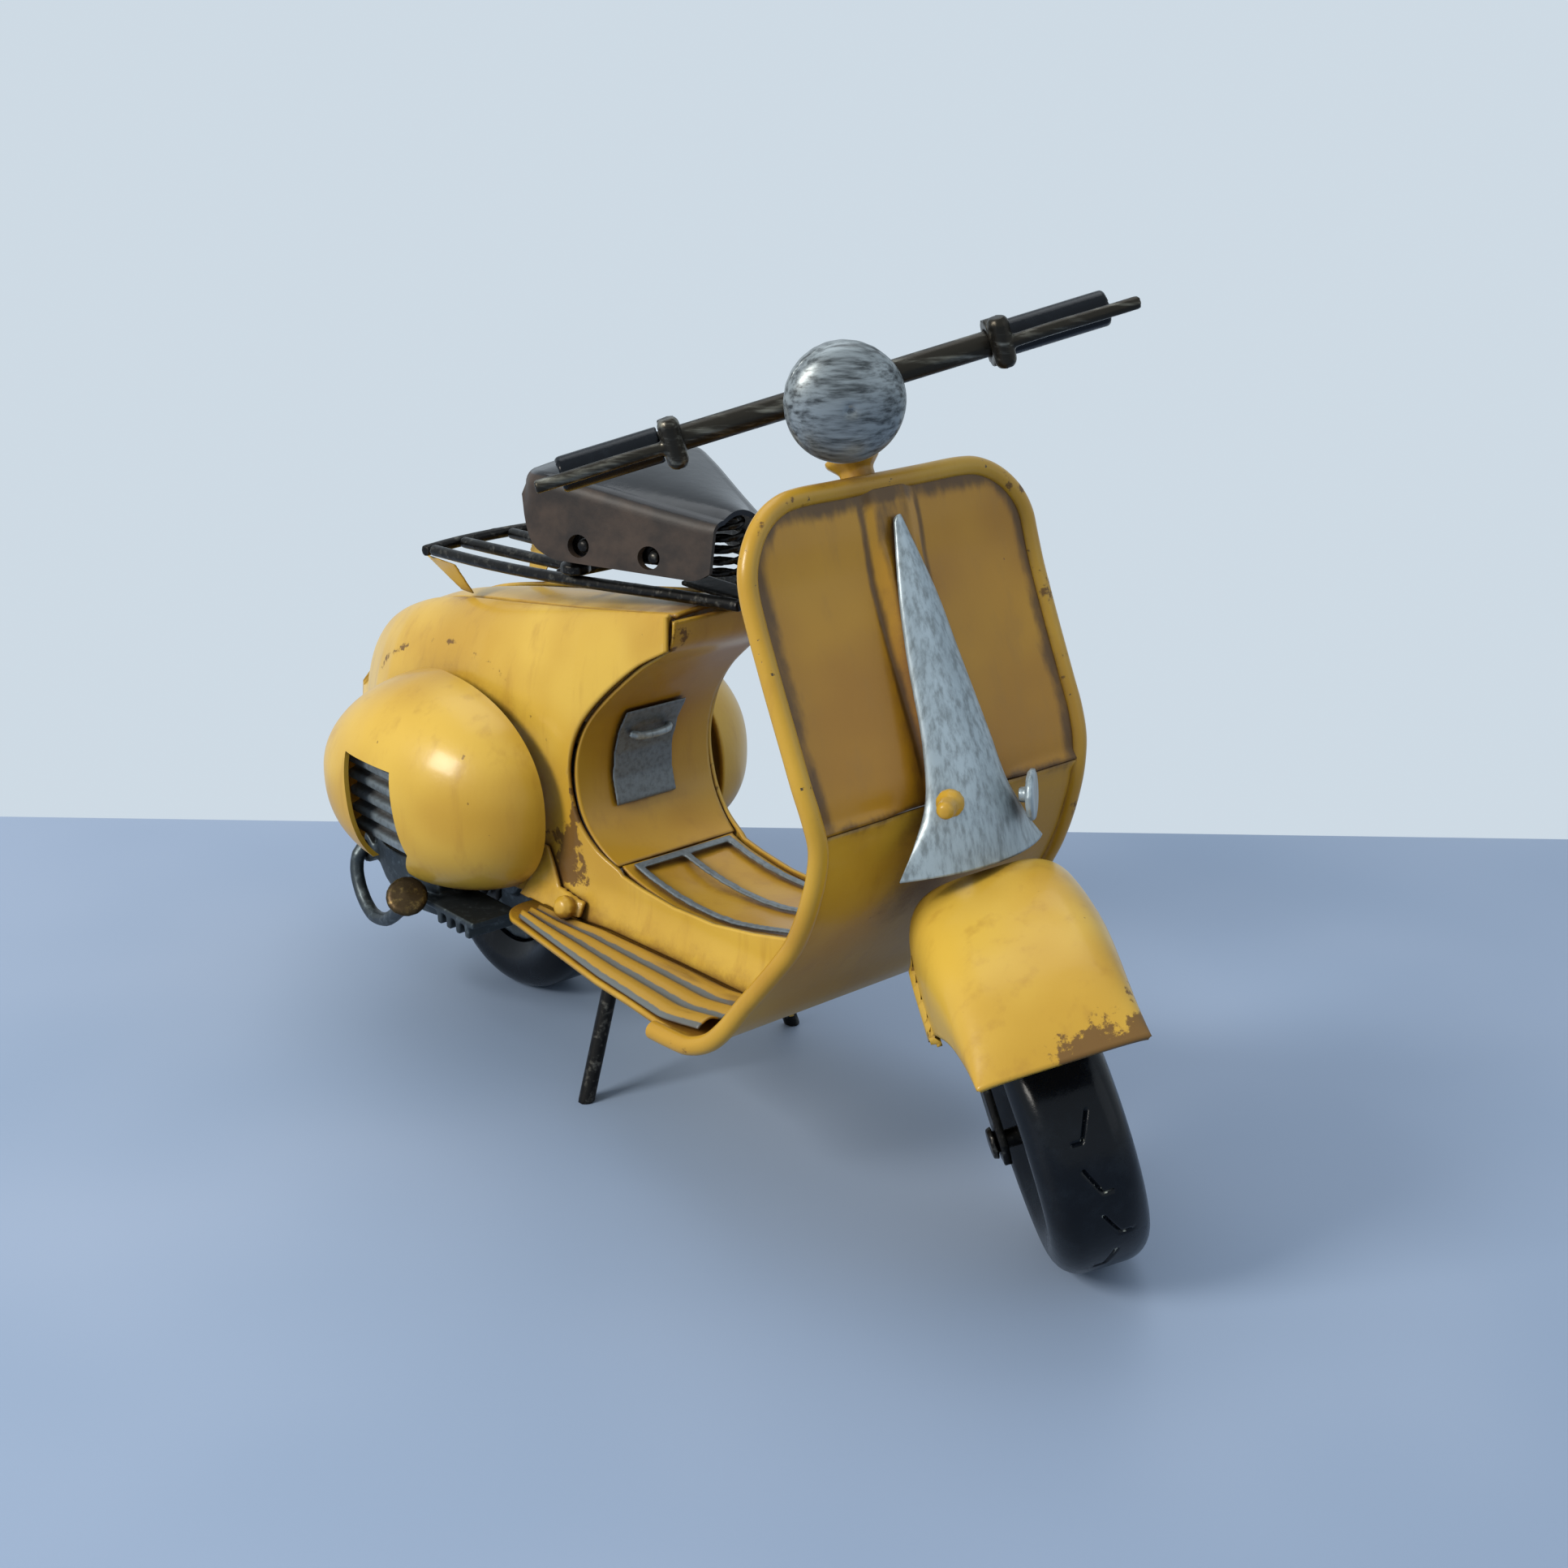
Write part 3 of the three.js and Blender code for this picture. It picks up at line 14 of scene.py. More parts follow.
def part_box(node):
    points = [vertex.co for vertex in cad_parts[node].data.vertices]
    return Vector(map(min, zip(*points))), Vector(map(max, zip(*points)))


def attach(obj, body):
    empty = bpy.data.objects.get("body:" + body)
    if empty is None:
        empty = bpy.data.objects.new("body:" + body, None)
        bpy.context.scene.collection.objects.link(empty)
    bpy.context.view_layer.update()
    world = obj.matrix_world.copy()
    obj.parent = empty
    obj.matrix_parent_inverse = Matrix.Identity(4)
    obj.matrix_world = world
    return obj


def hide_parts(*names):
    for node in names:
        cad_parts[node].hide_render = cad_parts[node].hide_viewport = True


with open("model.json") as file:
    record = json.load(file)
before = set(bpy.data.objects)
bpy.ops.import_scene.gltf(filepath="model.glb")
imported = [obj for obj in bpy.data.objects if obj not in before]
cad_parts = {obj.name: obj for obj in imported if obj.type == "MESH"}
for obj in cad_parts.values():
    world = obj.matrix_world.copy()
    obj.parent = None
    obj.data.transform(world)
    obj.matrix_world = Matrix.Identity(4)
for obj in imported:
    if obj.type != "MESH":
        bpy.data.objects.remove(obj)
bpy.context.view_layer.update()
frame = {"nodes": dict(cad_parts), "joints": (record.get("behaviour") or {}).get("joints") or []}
MM = 0.001

# Sizes shared with the CAD part
WHEEL_RADIUS, TYRE_WIDTH, TYRE_SHOULDER, RIM_RADIUS = 22, 15, 4.5, 13
REAR_AXLE = Vector((-60, 0, 22))
FLOOR_TOP, FLOOR_HALF, FLOOR_REAR = 28.3, 32, -36
FLOOR_CORNER = 6
SHIELD_HALF, SHIELD_TOP, SHIELD_CORNER, CREASE_HEIGHT = 28.2, 112.6, 12, 68
SHEET, GAP, BEAD_RADIUS = 0.8, 0.3, 1.5
TRIM, TUCK = BEAD_RADIUS + GAP, 0.9
BODY_HALF, TUNNEL_HALF = 15.5, 13
COWL_X, COWL_Z, COWL_LENGTH, COWL_HEIGHT, COWL_DEPTH = -57, 46.5, 58, 39, 20
STEM_RADIUS, RAKE = 1.8, math.radians(27.3)
STEER_POINT = Vector((31.1, 0, 110))
FENDER_LIP_X, FENDER_LIP_Z, FENDER_CROWN, FENDER_HALF = 96, 47.3, 58.8, 14.2
FRONT_AXLE_X, FRONT_AXLE_Z = 73.4, 21.9
SEAT_NOSE_X, SEAT_LENGTH, SEAT_REAR_HALF = 2.2, 35.8, 18
LAMP_X, LAMP_Z, LAMP_RADIUS = 37.5, 126.7, 8.8
STEER_REST = math.radians(-36)

# Fineness of the softened CAD pieces, and the angle above which an edge stays sharp
VOXEL, SMOOTH_SHARE, SMOOTH_TIMES = 0.28, 0.5, 5
SHARP_ANGLE = 40

# The CAD part's own origin, found from the rear tyre
low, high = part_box("rear_tyre")
ORIGIN = (Vector(low) + Vector(high)) / 2 - REAR_AXLE * MM
STEER = next(j for j in frame["joints"] if j["name"] == "steer")
STEER_TURN = Matrix.Rotation(STEER_REST, 4, Vector(STEER["axis"]))


def place(p, steered=False):
    """A point in part millimetres as a point in the frame, turned with the steering if it belongs there."""
    if steered:
        p = STEER_POINT + STEER_TURN @ (Vector(p) - STEER_POINT)
    return ORIGIN + Vector(p) * MM


def smooth(t):
    k = min(1, max(0, t))
    return k * k * (3 - 2 * k)


def track(pairs):
    """A broken line through (x, value) pairs, read by x."""
    s = sorted(pairs)

    def read(x):
        if x <= s[0][0]:
            return s[0][1]
        for (x0, v0), (x1, v1) in zip(s, s[1:]):
            if x <= x1:
                return v0 + (v1 - v0) * (x - x0) / (x1 - x0)
        return s[-1][1]

    return read


class Line:
    """A centripetal Catmull-Rom curve through points."""

    def __init__(self, points, fine=48):
        self.p = [Vector(q if len(q) == 3 else (q[0], 0, q[1])) for q in points]
        self.points = [self.at(i / (fine * (len(points) - 1))) for i in range(fine * (len(points) - 1) + 1)]
        self.far = [0.0]
        for a, b in zip(self.points, self.points[1:]):
            self.far.append(self.far[-1] + (b - a).length)
        self.length = self.far[-1]

    def at(self, t):
        """The point at share t, counted by control points."""
        p = self.p
        k = min(max(t, 0), 1) * (len(p) - 1)
        i = min(int(k), len(p) - 2)
        w = k - i
        p1, p2 = p[i], p[i + 1]
        p0 = p[i - 1] if i > 0 else p1 * 2 - p2
        p3 = p[i + 2] if i + 2 < len(p) else p2 * 2 - p1
        d0, d1, d2 = (max(1e-6, (b - a).length ** 0.5) for a, b in ((p0, p1), (p1, p2), (p2, p3)))
        t1 = ((p1 - p0) / d0 - (p2 - p0) / (d0 + d1) + (p2 - p1) / d1) * d1
        t2 = ((p2 - p1) / d1 - (p3 - p1) / (d1 + d2) + (p3 - p2) / d2) * d1
        return (
            p1
            + t1 * w
            + (p1 * -3 + p2 * 3 - t1 * 2 - t2) * w * w
            + (p1 * 2 - p2 * 2 + t1 + t2) * w**3
        )

    def along(self, s):
        """Point and direction at distance s."""
        s = min(max(s, 0), self.length)
        a, b = 0, len(self.far) - 1
        while b - a > 1:
            m = (a + b) // 2
            if self.far[m] <= s:
                a = m
            else:
                b = m
        span = self.far[b] - self.far[a]
        w = (s - self.far[a]) / span if span else 0
        before = self.points[max(a - 1, 0)]
        after = self.points[min(b + 1, len(self.points) - 1)]
        return self.points[a].lerp(self.points[b], w), (after - before).normalized()


# ---------------------------------------------------------------- mesh helpers


def thicken(piece, thickness):
    solidify = piece.modifiers.new("thickness", "SOLIDIFY")
    solidify.thickness = thickness * MM
    solidify.offset = -1


def finish_mesh(
    name, vertices, faces, body, material, replaced, *, steered=False, thickness=0.0, sharp=SHARP_ANGLE, marks
):
    """A smooth-shaded piece from millimetre points that stands for CAD nodes.

    With a thickness, the sheet is closed behind its normals. Marks are values per point that its paint reads.
    """
    mesh = bpy.data.meshes.new(name)
    mesh.from_pydata([place(v, steered) for v in vertices], [], faces)
    mesh.validate()
    for key, values in marks.items():
        layer = mesh.attributes.new(key, "FLOAT", "POINT")
        layer.data.foreach_set("value", values)
    piece = bpy.data.objects.new(name, mesh)
    bpy.context.scene.collection.objects.link(piece)
    if thickness:
        thicken(piece, thickness)
    mesh.shade_smooth()
    mesh.set_sharp_from_angle(angle=math.radians(sharp))
    mesh.materials.append(material)
    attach(piece, body)
    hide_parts(*replaced)
    return piece


def grid(fn, us, vs, skip=None):
    """Points of fn(u, v) and the quads between them."""
    vertices = [fn(u, v) for v in vs for u in us]
    n = len(us)
    faces = []
    for j in range(len(vs) - 1):
        for i in range(n - 1):
            if skip and skip((us[i] + us[i + 1]) / 2, (vs[j] + vs[j + 1]) / 2):
                continue
            a = j * n + i
            faces.append((a, a + 1, a + n + 1, a + n))
    return vertices, faces


def steps(a, b, n):
    return [a + (b - a) * i / n for i in range(n + 1)]


def facing(vertices, faces, way):
    """The faces turned so that most of them face a direction."""
    total = Vector((0, 0, 0))
    for f in faces:
        a, b, c = (Vector(vertices[k]) for k in f[:3])
        total += (b - a).cross(c - a)
    return faces if total.dot(Vector(way)) > 0 else [tuple(reversed(f)) for f in faces]


def tube(points, radius, around):
    """A round wire along points, with its frame carried along the path and both ends closed."""
    vertices, faces = [], []
    normal = None
    for i, p in enumerate(points):
        d = (points[min(i + 1, len(points) - 1)] - points[max(i - 1, 0)]).normalized()
        if normal is None:
            normal = d.orthogonal().normalized()
        normal = (normal - d * normal.dot(d)).normalized()
        other = d.cross(normal)
        for k in range(around):
            a = 2 * math.pi * k / around
            vertices.append(p + normal * (radius * math.cos(a)) + other * (radius * math.sin(a)))
    for i in range(len(points) - 1):
        for k in range(around):
            n = (k + 1) % around
            faces.append((i * around + k, i * around + n, (i + 1) * around + n, (i + 1) * around + k))
    faces.append(tuple(reversed(range(around))))
    faces.append(tuple(range((len(points) - 1) * around, len(points) * around)))
    return vertices, faces


# ------------------------------------------------------------------ materials


class Paint:
    """A node material made step by step; every step returns an output socket."""

    def __init__(self, name):
        self.material = bpy.data.materials.new(name)
        self.material.use_nodes = True
        self.tree = self.material.node_tree
        self.shader = next(n for n in self.tree.nodes if n.type == "BSDF_PRINCIPLED")
        self.where = self.node("ShaderNodeTexCoord").outputs["Object"]

    def node(self, kind, **settings):
        made = self.tree.nodes.new(kind)
        for key, value in settings.items():
            setattr(made, key, value)
        return made

    def feed(self, socket, value):
        if isinstance(value, bpy.types.NodeSocket):
            self.tree.links.new(value, socket)
        elif isinstance(value, tuple) and len(value) == 3 and socket.type == "RGBA":
            socket.default_value = (*value, 1)
        else:
            socket.default_value = value

    def math(self, kind, a, b):
        made = self.node("ShaderNodeMath", operation=kind)
        self.feed(made.inputs[0], a)
        self.feed(made.inputs[1], b)
        return made.outputs[0]

    def stretch(self, x=1.0, y=1.0, z=1.0, turn=(0, 0, 0)):
        """The object's coordinates in millimetres, scaled on each axis."""
        made = self.node("ShaderNodeMapping", vector_type="TEXTURE")
        self.feed(made.inputs["Vector"], self.where)
        made.inputs["Scale"].default_value = (MM / x, MM / y, MM / z)
        made.inputs["Rotation"].default_value = turn
        return made.outputs[0]

    def noise(self, size, detail=3.0, rough=0.55, vector=None, shift=0.0):
        made = self.node("ShaderNodeTexNoise", noise_dimensions="4D")
        self.feed(made.inputs["Vector"], vector or self.stretch())
        made.inputs["Scale"].default_value = 1 / size
        made.inputs["Detail"].default_value = detail
        made.inputs["Roughness"].default_value = rough
        made.inputs["W"].default_value = shift
        return made.outputs["Fac"]

    def ramp(self, value, low, high):
        """A smooth step from 0 at low to 1 at high."""
        made = self.node("ShaderNodeMapRange", interpolation_type="SMOOTHSTEP")
        self.feed(made.inputs["Value"], value)
        made.inputs["From Min"].default_value = low
        made.inputs["From Max"].default_value = high
        return made.outputs["Result"]

    def mix(self, share, a, b):
        made = self.node("ShaderNodeMix", data_type="RGBA")
        self.feed(made.inputs[0], share)
        self.feed(made.inputs[6], a)
        self.feed(made.inputs[7], b)
        return made.outputs[2]

    def roughened(self, value, spread, noise):
        """A value shifted up and down by a noise."""
        return self.math("ADD", value, self.math("MULTIPLY", self.math("SUBTRACT", noise, 0.5), spread))

    def share(self, value, most):
        return self.math("MULTIPLY", value, most)

    def mark(self, name):
        """A value painted on the mesh's points, 0 where there is none."""
        return self.node("ShaderNodeAttribute", attribute_name=name).outputs["Fac"]

    def crease(self, reach):
        """How far a point is shut in by surfaces nearer than reach."""
        made = self.node("ShaderNodeAmbientOcclusion", samples=6, only_local=False)
        made.inputs["Distance"].default_value = reach * MM
        return self.math("SUBTRACT", 1.0, made.outputs["AO"])

    def bump(self, height, strength, depth):
        made = self.node("ShaderNodeBump")
        made.inputs["Strength"].default_value = strength
        made.inputs["Distance"].default_value = depth * MM
        self.feed(made.inputs["Height"], height)
        self.feed(self.shader.inputs["Normal"], made.outputs[0])

    def set(self, **values):
        for key, value in values.items():
            self.feed(self.shader.inputs[key.replace("_", " ")], value)
        return self.material


UMBER, RUST, SOOT = (0.155, 0.062, 0.008), (0.095, 0.040, 0.007), (0.02, 0.017, 0.015)


def enamel(name, pale, deep, shift=0.0):
    """Old mustard enamel with umber wash and painted shade in the creases, painted shade in seams, stains,
    specks and worn patches.
    """
    p = Paint(name)
    tone = p.ramp(p.noise(26, 2, shift=shift), 0.35, 0.68)
    colour = p.mix(tone, deep, pale)
    brushed = p.noise(3.2, 4, 0.6, p.stretch(1, 1, 0.14), shift + 3)
    colour = p.mix(p.share(p.ramp(brushed, 0.5, 0.74), 0.35), colour, (0.30, 0.145, 0.016))
    # Umber stains and painted shade: darker umber where surfaces within 7 mm shut a point in, broken up by
    # noise.
    stain_and_shade = p.ramp(p.roughened(p.crease(7), 0.9, p.noise(4, 5, 0.65, shift=shift + 7)), 0.24, 0.56)
    colour = p.mix(p.share(stain_and_shade, 0.8), colour, UMBER)
    # Umber wash and painted shade from the wash mark: dark brown at rims, ridge flanks, the fold and beside
    # the cover.
    washed_and_shaded = p.ramp(p.roughened(p.mark("wash_and_shade"), 0.9, brushed), 0.3, 0.8)
    washed_and_shaded = p.math("MULTIPLY", washed_and_shaded, p.ramp(p.mark("wash_and_shade"), 0.02, 0.2))
    colour = p.mix(p.share(washed_and_shaded, 0.9), colour, (0.062, 0.026, 0.003))
    # Painted shade: near-black brown in seams and narrow gaps where surfaces within 2.2 mm shut a point in.
    seam_shade = p.ramp(p.crease(2.2), 0.36, 0.76)
    colour = p.mix(p.share(seam_shade, 0.85), colour, (0.045, 0.018, 0.005))
    speck = p.ramp(p.noise(1.5, 2, 0.5, shift=shift + 11), 0.755, 0.78)
    colour = p.mix(p.share(speck, 0.65), colour, (0.10, 0.042, 0.01))
    bare = p.ramp(p.roughened(p.mark("wear"), 2.2, p.noise(5.5, 6, 0.7, shift=shift + 5)), 0.62, 0.74)
    bare = p.math("MULTIPLY", bare, p.ramp(p.mark("wear"), 0.02, 0.2))
    colour = p.mix(p.share(bare, 0.88), colour, RUST)
    chip = p.ramp(p.roughened(p.mark("edge"), 2.6, p.noise(2.4, 4, 0.7, shift=shift + 9)), 0.9, 1.0)
    chip = p.math("MULTIPLY", chip, p.ramp(p.mark("edge"), 0.02, 0.2))
    colour = p.mix(p.share(chip, 0.9), colour, SOOT)
    rough = p.math("ADD", 0.36, p.share(p.math("ADD", stain_and_shade, bare), 0.22))
    grain = p.math("SUBTRACT", p.noise(1.1, 3, 0.6), p.share(chip, 1.5))
    p.bump(p.math("ADD", p.share(brushed, 0.5), grain), 0.25, 0.12)
    return p.set(
        Base_Color=colour, Roughness=rough, Specular_IOR_Level=0.3, Coat_Weight=0.22, Coat_Roughness=0.16
    )


def brushed_grey(name, pale, dark, metal, along, turn=(0, 0, 0)):
    """Silver-grey brushed paint with dark dry-brush streaks and painted shade in hollows."""
    p = Paint(name)
    hairs = p.noise(0.9, 4, 0.6, p.stretch(*along, turn))
    colour = p.mix(p.ramp(hairs, 0.3, 0.62), dark, pale)
    patch = p.ramp(p.noise(9, 3, 0.5, shift=2), 0.45, 0.75)
    colour = p.mix(p.share(patch, 0.3), colour, dark)
    # Painted shade: near-black brown where surfaces within 3.5 mm shut a point in.
    hollow_shade = p.ramp(p.crease(3.5), 0.3, 0.8)
    colour = p.mix(p.share(hollow_shade, 0.85), colour, (0.035, 0.02, 0.008))
    p.bump(hairs, 0.2, 0.06)
    return p.set(Base_Color=colour, Metallic=metal, Roughness=p.math("ADD", 0.34, p.share(patch, 0.16)))


def steel(name, bright, dark, along=(1, 1, 1), turn=(0, 0, 0), rough=0.34):
    """Blackened steel with bronze-bright rubbed places and painted shade in hollows."""
    p = Paint(name)
    rubbed = p.noise(1.5, 4, 0.62, p.stretch(*along, turn))
    colour = p.mix(p.ramp(rubbed, 0.5, 0.78), dark, bright)
    # Painted shade: almost black where surfaces within 2.5 mm shut a point in.
    hollow_shade = p.ramp(p.crease(2.5), 0.25, 0.75)
    colour = p.mix(p.share(hollow_shade, 0.8), colour, (0.012, 0.01, 0.008))
    p.bump(rubbed, 0.35, 0.15)
    return p.set(Base_Color=colour, Metallic=0.85, Roughness=rough)


def rubber(name):
    """Glossy black with pale rims on the hand-cut marks."""
    p = Paint(name)
    dust = p.ramp(p.noise(6, 5, 0.7), 0.45, 0.75)
    colour = p.mix(p.share(dust, 0.2), (0.003, 0.004, 0.006), (0.02, 0.03, 0.042))
    pale = p.ramp(p.mark("cut"), 0.55, 0.9)
    colour = p.mix(p.math("MULTIPLY", pale, p.ramp(p.noise(2, 3), 0.55, 0.62)), colour, (0.35, 0.36, 0.30))
    p.bump(p.noise(1.2, 4, 0.6), 0.3, 0.12)
    rough = p.math("ADD", 0.2, p.share(dust, 0.18))
    return p.set(Base_Color=colour, Roughness=rough, Specular_IOR_Level=0.18)


def seat_skin(name):
    """Glossy dark top over rusty brown skirts."""
    p = Paint(name)
    top = p.ramp(p.mark("top"), 0.35, 0.65)
    blot = p.ramp(p.noise(7, 4, 0.6), 0.35, 0.7)
    skirt = p.mix(blot, (0.014, 0.009, 0.006), (0.045, 0.028, 0.018))
    roof = p.mix(p.ramp(p.noise(9, 3), 0.4, 0.7), (0.006, 0.006, 0.007), (0.018, 0.019, 0.022))
    p.bump(p.noise(1.6, 4, 0.6), 0.3, 0.12)
    rough = p.math("SUBTRACT", 0.5, p.share(top, 0.34))
    return p.set(Base_Color=p.mix(top, skirt, roof), Roughness=rough, Specular_IOR_Level=0.32)


def striped_paint(name, grey, yellow):
    """Tread paint: grey in the valleys, yellow on the ribs, painted umber shade in the grooves between."""
    p = Paint(name)
    rib = p.ramp(p.roughened(p.mark("rib"), 0.5, p.noise(3, 4, 0.6)), 0.42, 0.6)
    colour = p.mix(rib, grey, yellow)
    # Painted shade: dark brown in the grooves where the ribs within 2.5 mm shut a point in.
    groove_shade = p.ramp(p.crease(2.5), 0.08, 0.45)
    colour = p.mix(p.share(groove_shade, 0.85), colour, (0.05, 0.022, 0.005))
    smear = p.ramp(p.noise(3.5, 4, 0.6, p.stretch(0.15, 1, 1), 4), 0.5, 0.7)
    colour = p.mix(p.share(smear, 0.55), colour, (0.085, 0.038, 0.006))
    p.bump(p.noise(1.3, 4, 0.6), 0.35, 0.15)
    return p.set(Base_Color=colour, Roughness=0.42)


def glass(name):
    """Red lamp glass."""
    p = Paint(name)
    colour = p.mix(p.ramp(p.noise(2, 3), 0.4, 0.6), (0.32, 0.02, 0.015), (0.5, 0.05, 0.03))
    p.bump(p.noise(1.4, 2), 0.15, 0.1)
    return p.set(Base_Color=colour, Roughness=0.12, Coat_Weight=0.6)


WITH_BAR = (0, 0, STEER_REST)
YELLOW = enamel("yellow_enamel", (0.55, 0.345, 0.046), (0.43, 0.24, 0.020))
# Darker, deeper copies of the same enamel: painted shade for the shield, floor and front pieces that face
# away from the key light.
YELLOW_FRONT_SHADED = enamel("yellow_enamel_front_shaded", (0.46, 0.262, 0.022), (0.37, 0.19, 0.011), shift=20)
YELLOW_SHIELD_SHADED = enamel("yellow_enamel_shield_shaded", (0.44, 0.215, 0.008), (0.34, 0.15, 0.005), shift=40)
GREY = brushed_grey("grey_paint", (0.33, 0.39, 0.42), (0.17, 0.20, 0.21), 0.35, (1, 1, 0.08))
GREY_FLAT = brushed_grey("grey_paint_flat", (0.145, 0.175, 0.195), (0.09, 0.105, 0.115), 0.15, (1, 1, 1))
LAMP = brushed_grey("lamp_steel", (0.25, 0.28, 0.29), (0.035, 0.04, 0.042), 0.5, (1, 0.12, 1), WITH_BAR)
STEEL = steel("dark_steel", (0.13, 0.12, 0.10), (0.014, 0.013, 0.012))
BAR = steel("bar_steel", (0.24, 0.23, 0.19), (0.028, 0.024, 0.018), (1, 0.1, 1), WITH_BAR)
CAST = steel("cast_grey", (0.15, 0.18, 0.19), (0.05, 0.06, 0.065), rough=0.45)
BRASS = steel("pedal_brass", (0.22, 0.15, 0.05), (0.05, 0.032, 0.014), rough=0.4)
RUBBER = rubber("tyre_black")
SLEEVE = rubber("grip_black")
SEAT = seat_skin("saddle_brown")
TREAD = striped_paint("tread_paint", (0.10, 0.11, 0.105), (0.36, 0.20, 0.02))
RED = glass("tail_red")

# --------------------------------------------------------- shield and floor pan

shield_line = Line(
    [
        (35.2, SHIELD_TOP), (37.2, 107), (39.0, 100), (43.0, 90.2), (47.6, 80), (50.0, 74.6), (51.4, 70.5),
        (51.9, 66), (51.3, 62), (48.7, 54), (44.4, 46), (38.6, 37.6), (34.6, 32), (30.4, 28.7),
        (24, FLOOR_TOP - SHEET), (8, FLOOR_TOP - SHEET), (-12, FLOOR_TOP - SHEET - 0.2),
        (FLOOR_REAR, FLOOR_TOP - SHEET - 0.5),
    ]
)


def shield_at(s):
    p, d = shield_line.along(s)
    return p.copy(), Vector((-d.z, 0, d.x))


def shield_distance(z):
    a, b = 0.0, shield_line.length
    for _ in range(40):
        m = (a + b) / 2
        if shield_at(m)[0].z > z:
            a = m
        else:
            b = m
    return a


CREASE_AT = shield_distance(CREASE_HEIGHT)
FLOOR_START = shield_distance(30)
WAIST = SHIELD_HALF - 1.8
wide = track(
    [
        (0, SHIELD_HALF), (CREASE_AT - 6, SHIELD_HALF - 0.3), (CREASE_AT - 2, SHIELD_HALF - 0.9),
        (CREASE_AT + 3, WAIST), (CREASE_AT + 20, WAIST), (FLOOR_START - 6, FLOOR_HALF - 1.6),
        (FLOOR_START + 4, FLOOR_HALF), (FLOOR_START + 16, FLOOR_HALF), (FLOOR_START + 34, FLOOR_HALF - 1.6),
        (shield_line.length, FLOOR_HALF - 7),
    ]
)


def shield_half(s):
    w = wide(s)
    if s >= SHIELD_CORNER:
        return w
    k = SHIELD_CORNER - s
    return w - SHIELD_CORNER + math.sqrt(max(0, SHIELD_CORNER**2 - k * k))


RIDGE_HALF = 5.8


def stem_x(z):
    return STEER_POINT.x + (STEER_POINT.z - z) * math.tan(RAKE)


def ridge(y, s):
    k = abs(y) / RIDGE_HALF
    if k >= 1 or s > CREASE_AT + 1:
        return 0
    p, _ = shield_at(s)
    behind = (p.x - stem_x(p.z)) * 0.91
    return max(0.8, STEM_RADIUS + 2.6 - behind) * smooth((1 - k) / 0.55)


def on_shield(y, s, lift=0.0):
    p, front = shield_at(s)
    q = p + front * (ridge(y, s) + lift)
    return Vector((q.x, y, q.z))


def crease_fold(y, s):
    """Height of the pressed fold line at the shield's sides."""
    reach = smooth((abs(y) - 9) / 6)
    return 0.7 * reach * math.exp(-(((s - CREASE_AT) / 1.1) ** 2))


def shield_piece():
    us = steps(-1, 1, 160)
    top = TUCK

    def point(u, s):
        inner = SHIELD_CORNER - TUCK
        if s < SHIELD_CORNER:
            k = max(0.0, SHIELD_CORNER - s)
            half = SHIELD_HALF - SHIELD_CORNER + math.sqrt(max(0, inner**2 - k * k))
        else:
            half = shield_half(s) - TUCK
        y = u * half
        return on_shield(y, s, crease_fold(y, s))

    near_top = [top + (SHIELD_CORNER - top) * (1 - math.cos(math.pi / 2 * i / 14)) for i in range(15)]
    vs = near_top + steps(SHIELD_CORNER, CREASE_AT - GAP / 2, 80)[1:]
    vertices, faces = grid(point, us, vs)
    faces = facing(vertices, faces, (1, 0, 0.3))
    wear, wash_and_shade = [], []
    for s in vs:
        for u in us:
            y = point(u, s).y
            gap = min(shield_half(s) - TRIM - abs(y), s - TRIM)
            # Wash and painted shade: rims under the bead, the ridge flanks, the valley beside the cover and
            # the fold.
            rim = 0.75 * math.exp(-((max(gap, 0) / 2.4) ** 2))
            flank = 0.8 * math.exp(-(((abs(y) - 5.6) / 0.9) ** 2)) * smooth((CREASE_AT - s) / 6)
            valley = 0.5 * smooth((4.6 - abs(y)) / 1.5)
            fold = 0.7 * math.exp(-(((s - CREASE_AT) / 1.3) ** 2))
            wash_and_shade.append(max(rim, flank, valley, fold))
            wear.append(0.2 * smooth((8 - gap) / 8))
    marks = {"wear": wear, "wash_and_shade": wash_and_shade}
    return finish_mesh(
        "shield_sheet", vertices, faces, "body", YELLOW_SHIELD_SHADED, ["leg_shield"], thickness=SHEET, marks=marks
    )


def floor_piece():
    us = steps(-1, 1, 110)
    round_from = shield_line.length - FLOOR_CORNER

    def point(u, s):
        half = shield_half(min(s, round_from)) - (TUCK if s < FLOOR_START + 12 else TRIM)
        if s > round_from:
            k = s - round_from
            half = half - FLOOR_CORNER + math.sqrt(max(0, FLOOR_CORNER**2 - k * k))
        y = u * half
        return on_shield(y, s, crease_fold(y, s))

    def notch(u, s):
        """The cut-out that the stem passes through."""
        return s < CREASE_AT + 6.5 and abs(u) * (WAIST - TRIM) < 3.2

    rounded = [round_from + FLOOR_CORNER * math.sin(math.pi / 2 * i / 8) for i in range(1, 9)]
    vs = steps(CREASE_AT + GAP / 2, round_from, 130) + rounded
    vertices, faces = grid(point, us, vs, notch)
    faces = facing(vertices, faces, (1, 0, -1))
    # Wash and painted shade along the fold where the floor meets the shield.
    wash_and_shade = [0.55 * math.exp(-(((s - CREASE_AT) / 1.6) ** 2)) for s in vs for _ in us]
    marks = {"wear": [0.0] * len(vertices), "wash_and_shade": wash_and_shade}
    return finish_mesh(
        "floor_sheet", vertices, faces, "body", YELLOW_FRONT_SHADED, ["floor_pan"], thickness=SHEET, marks=marks
    )


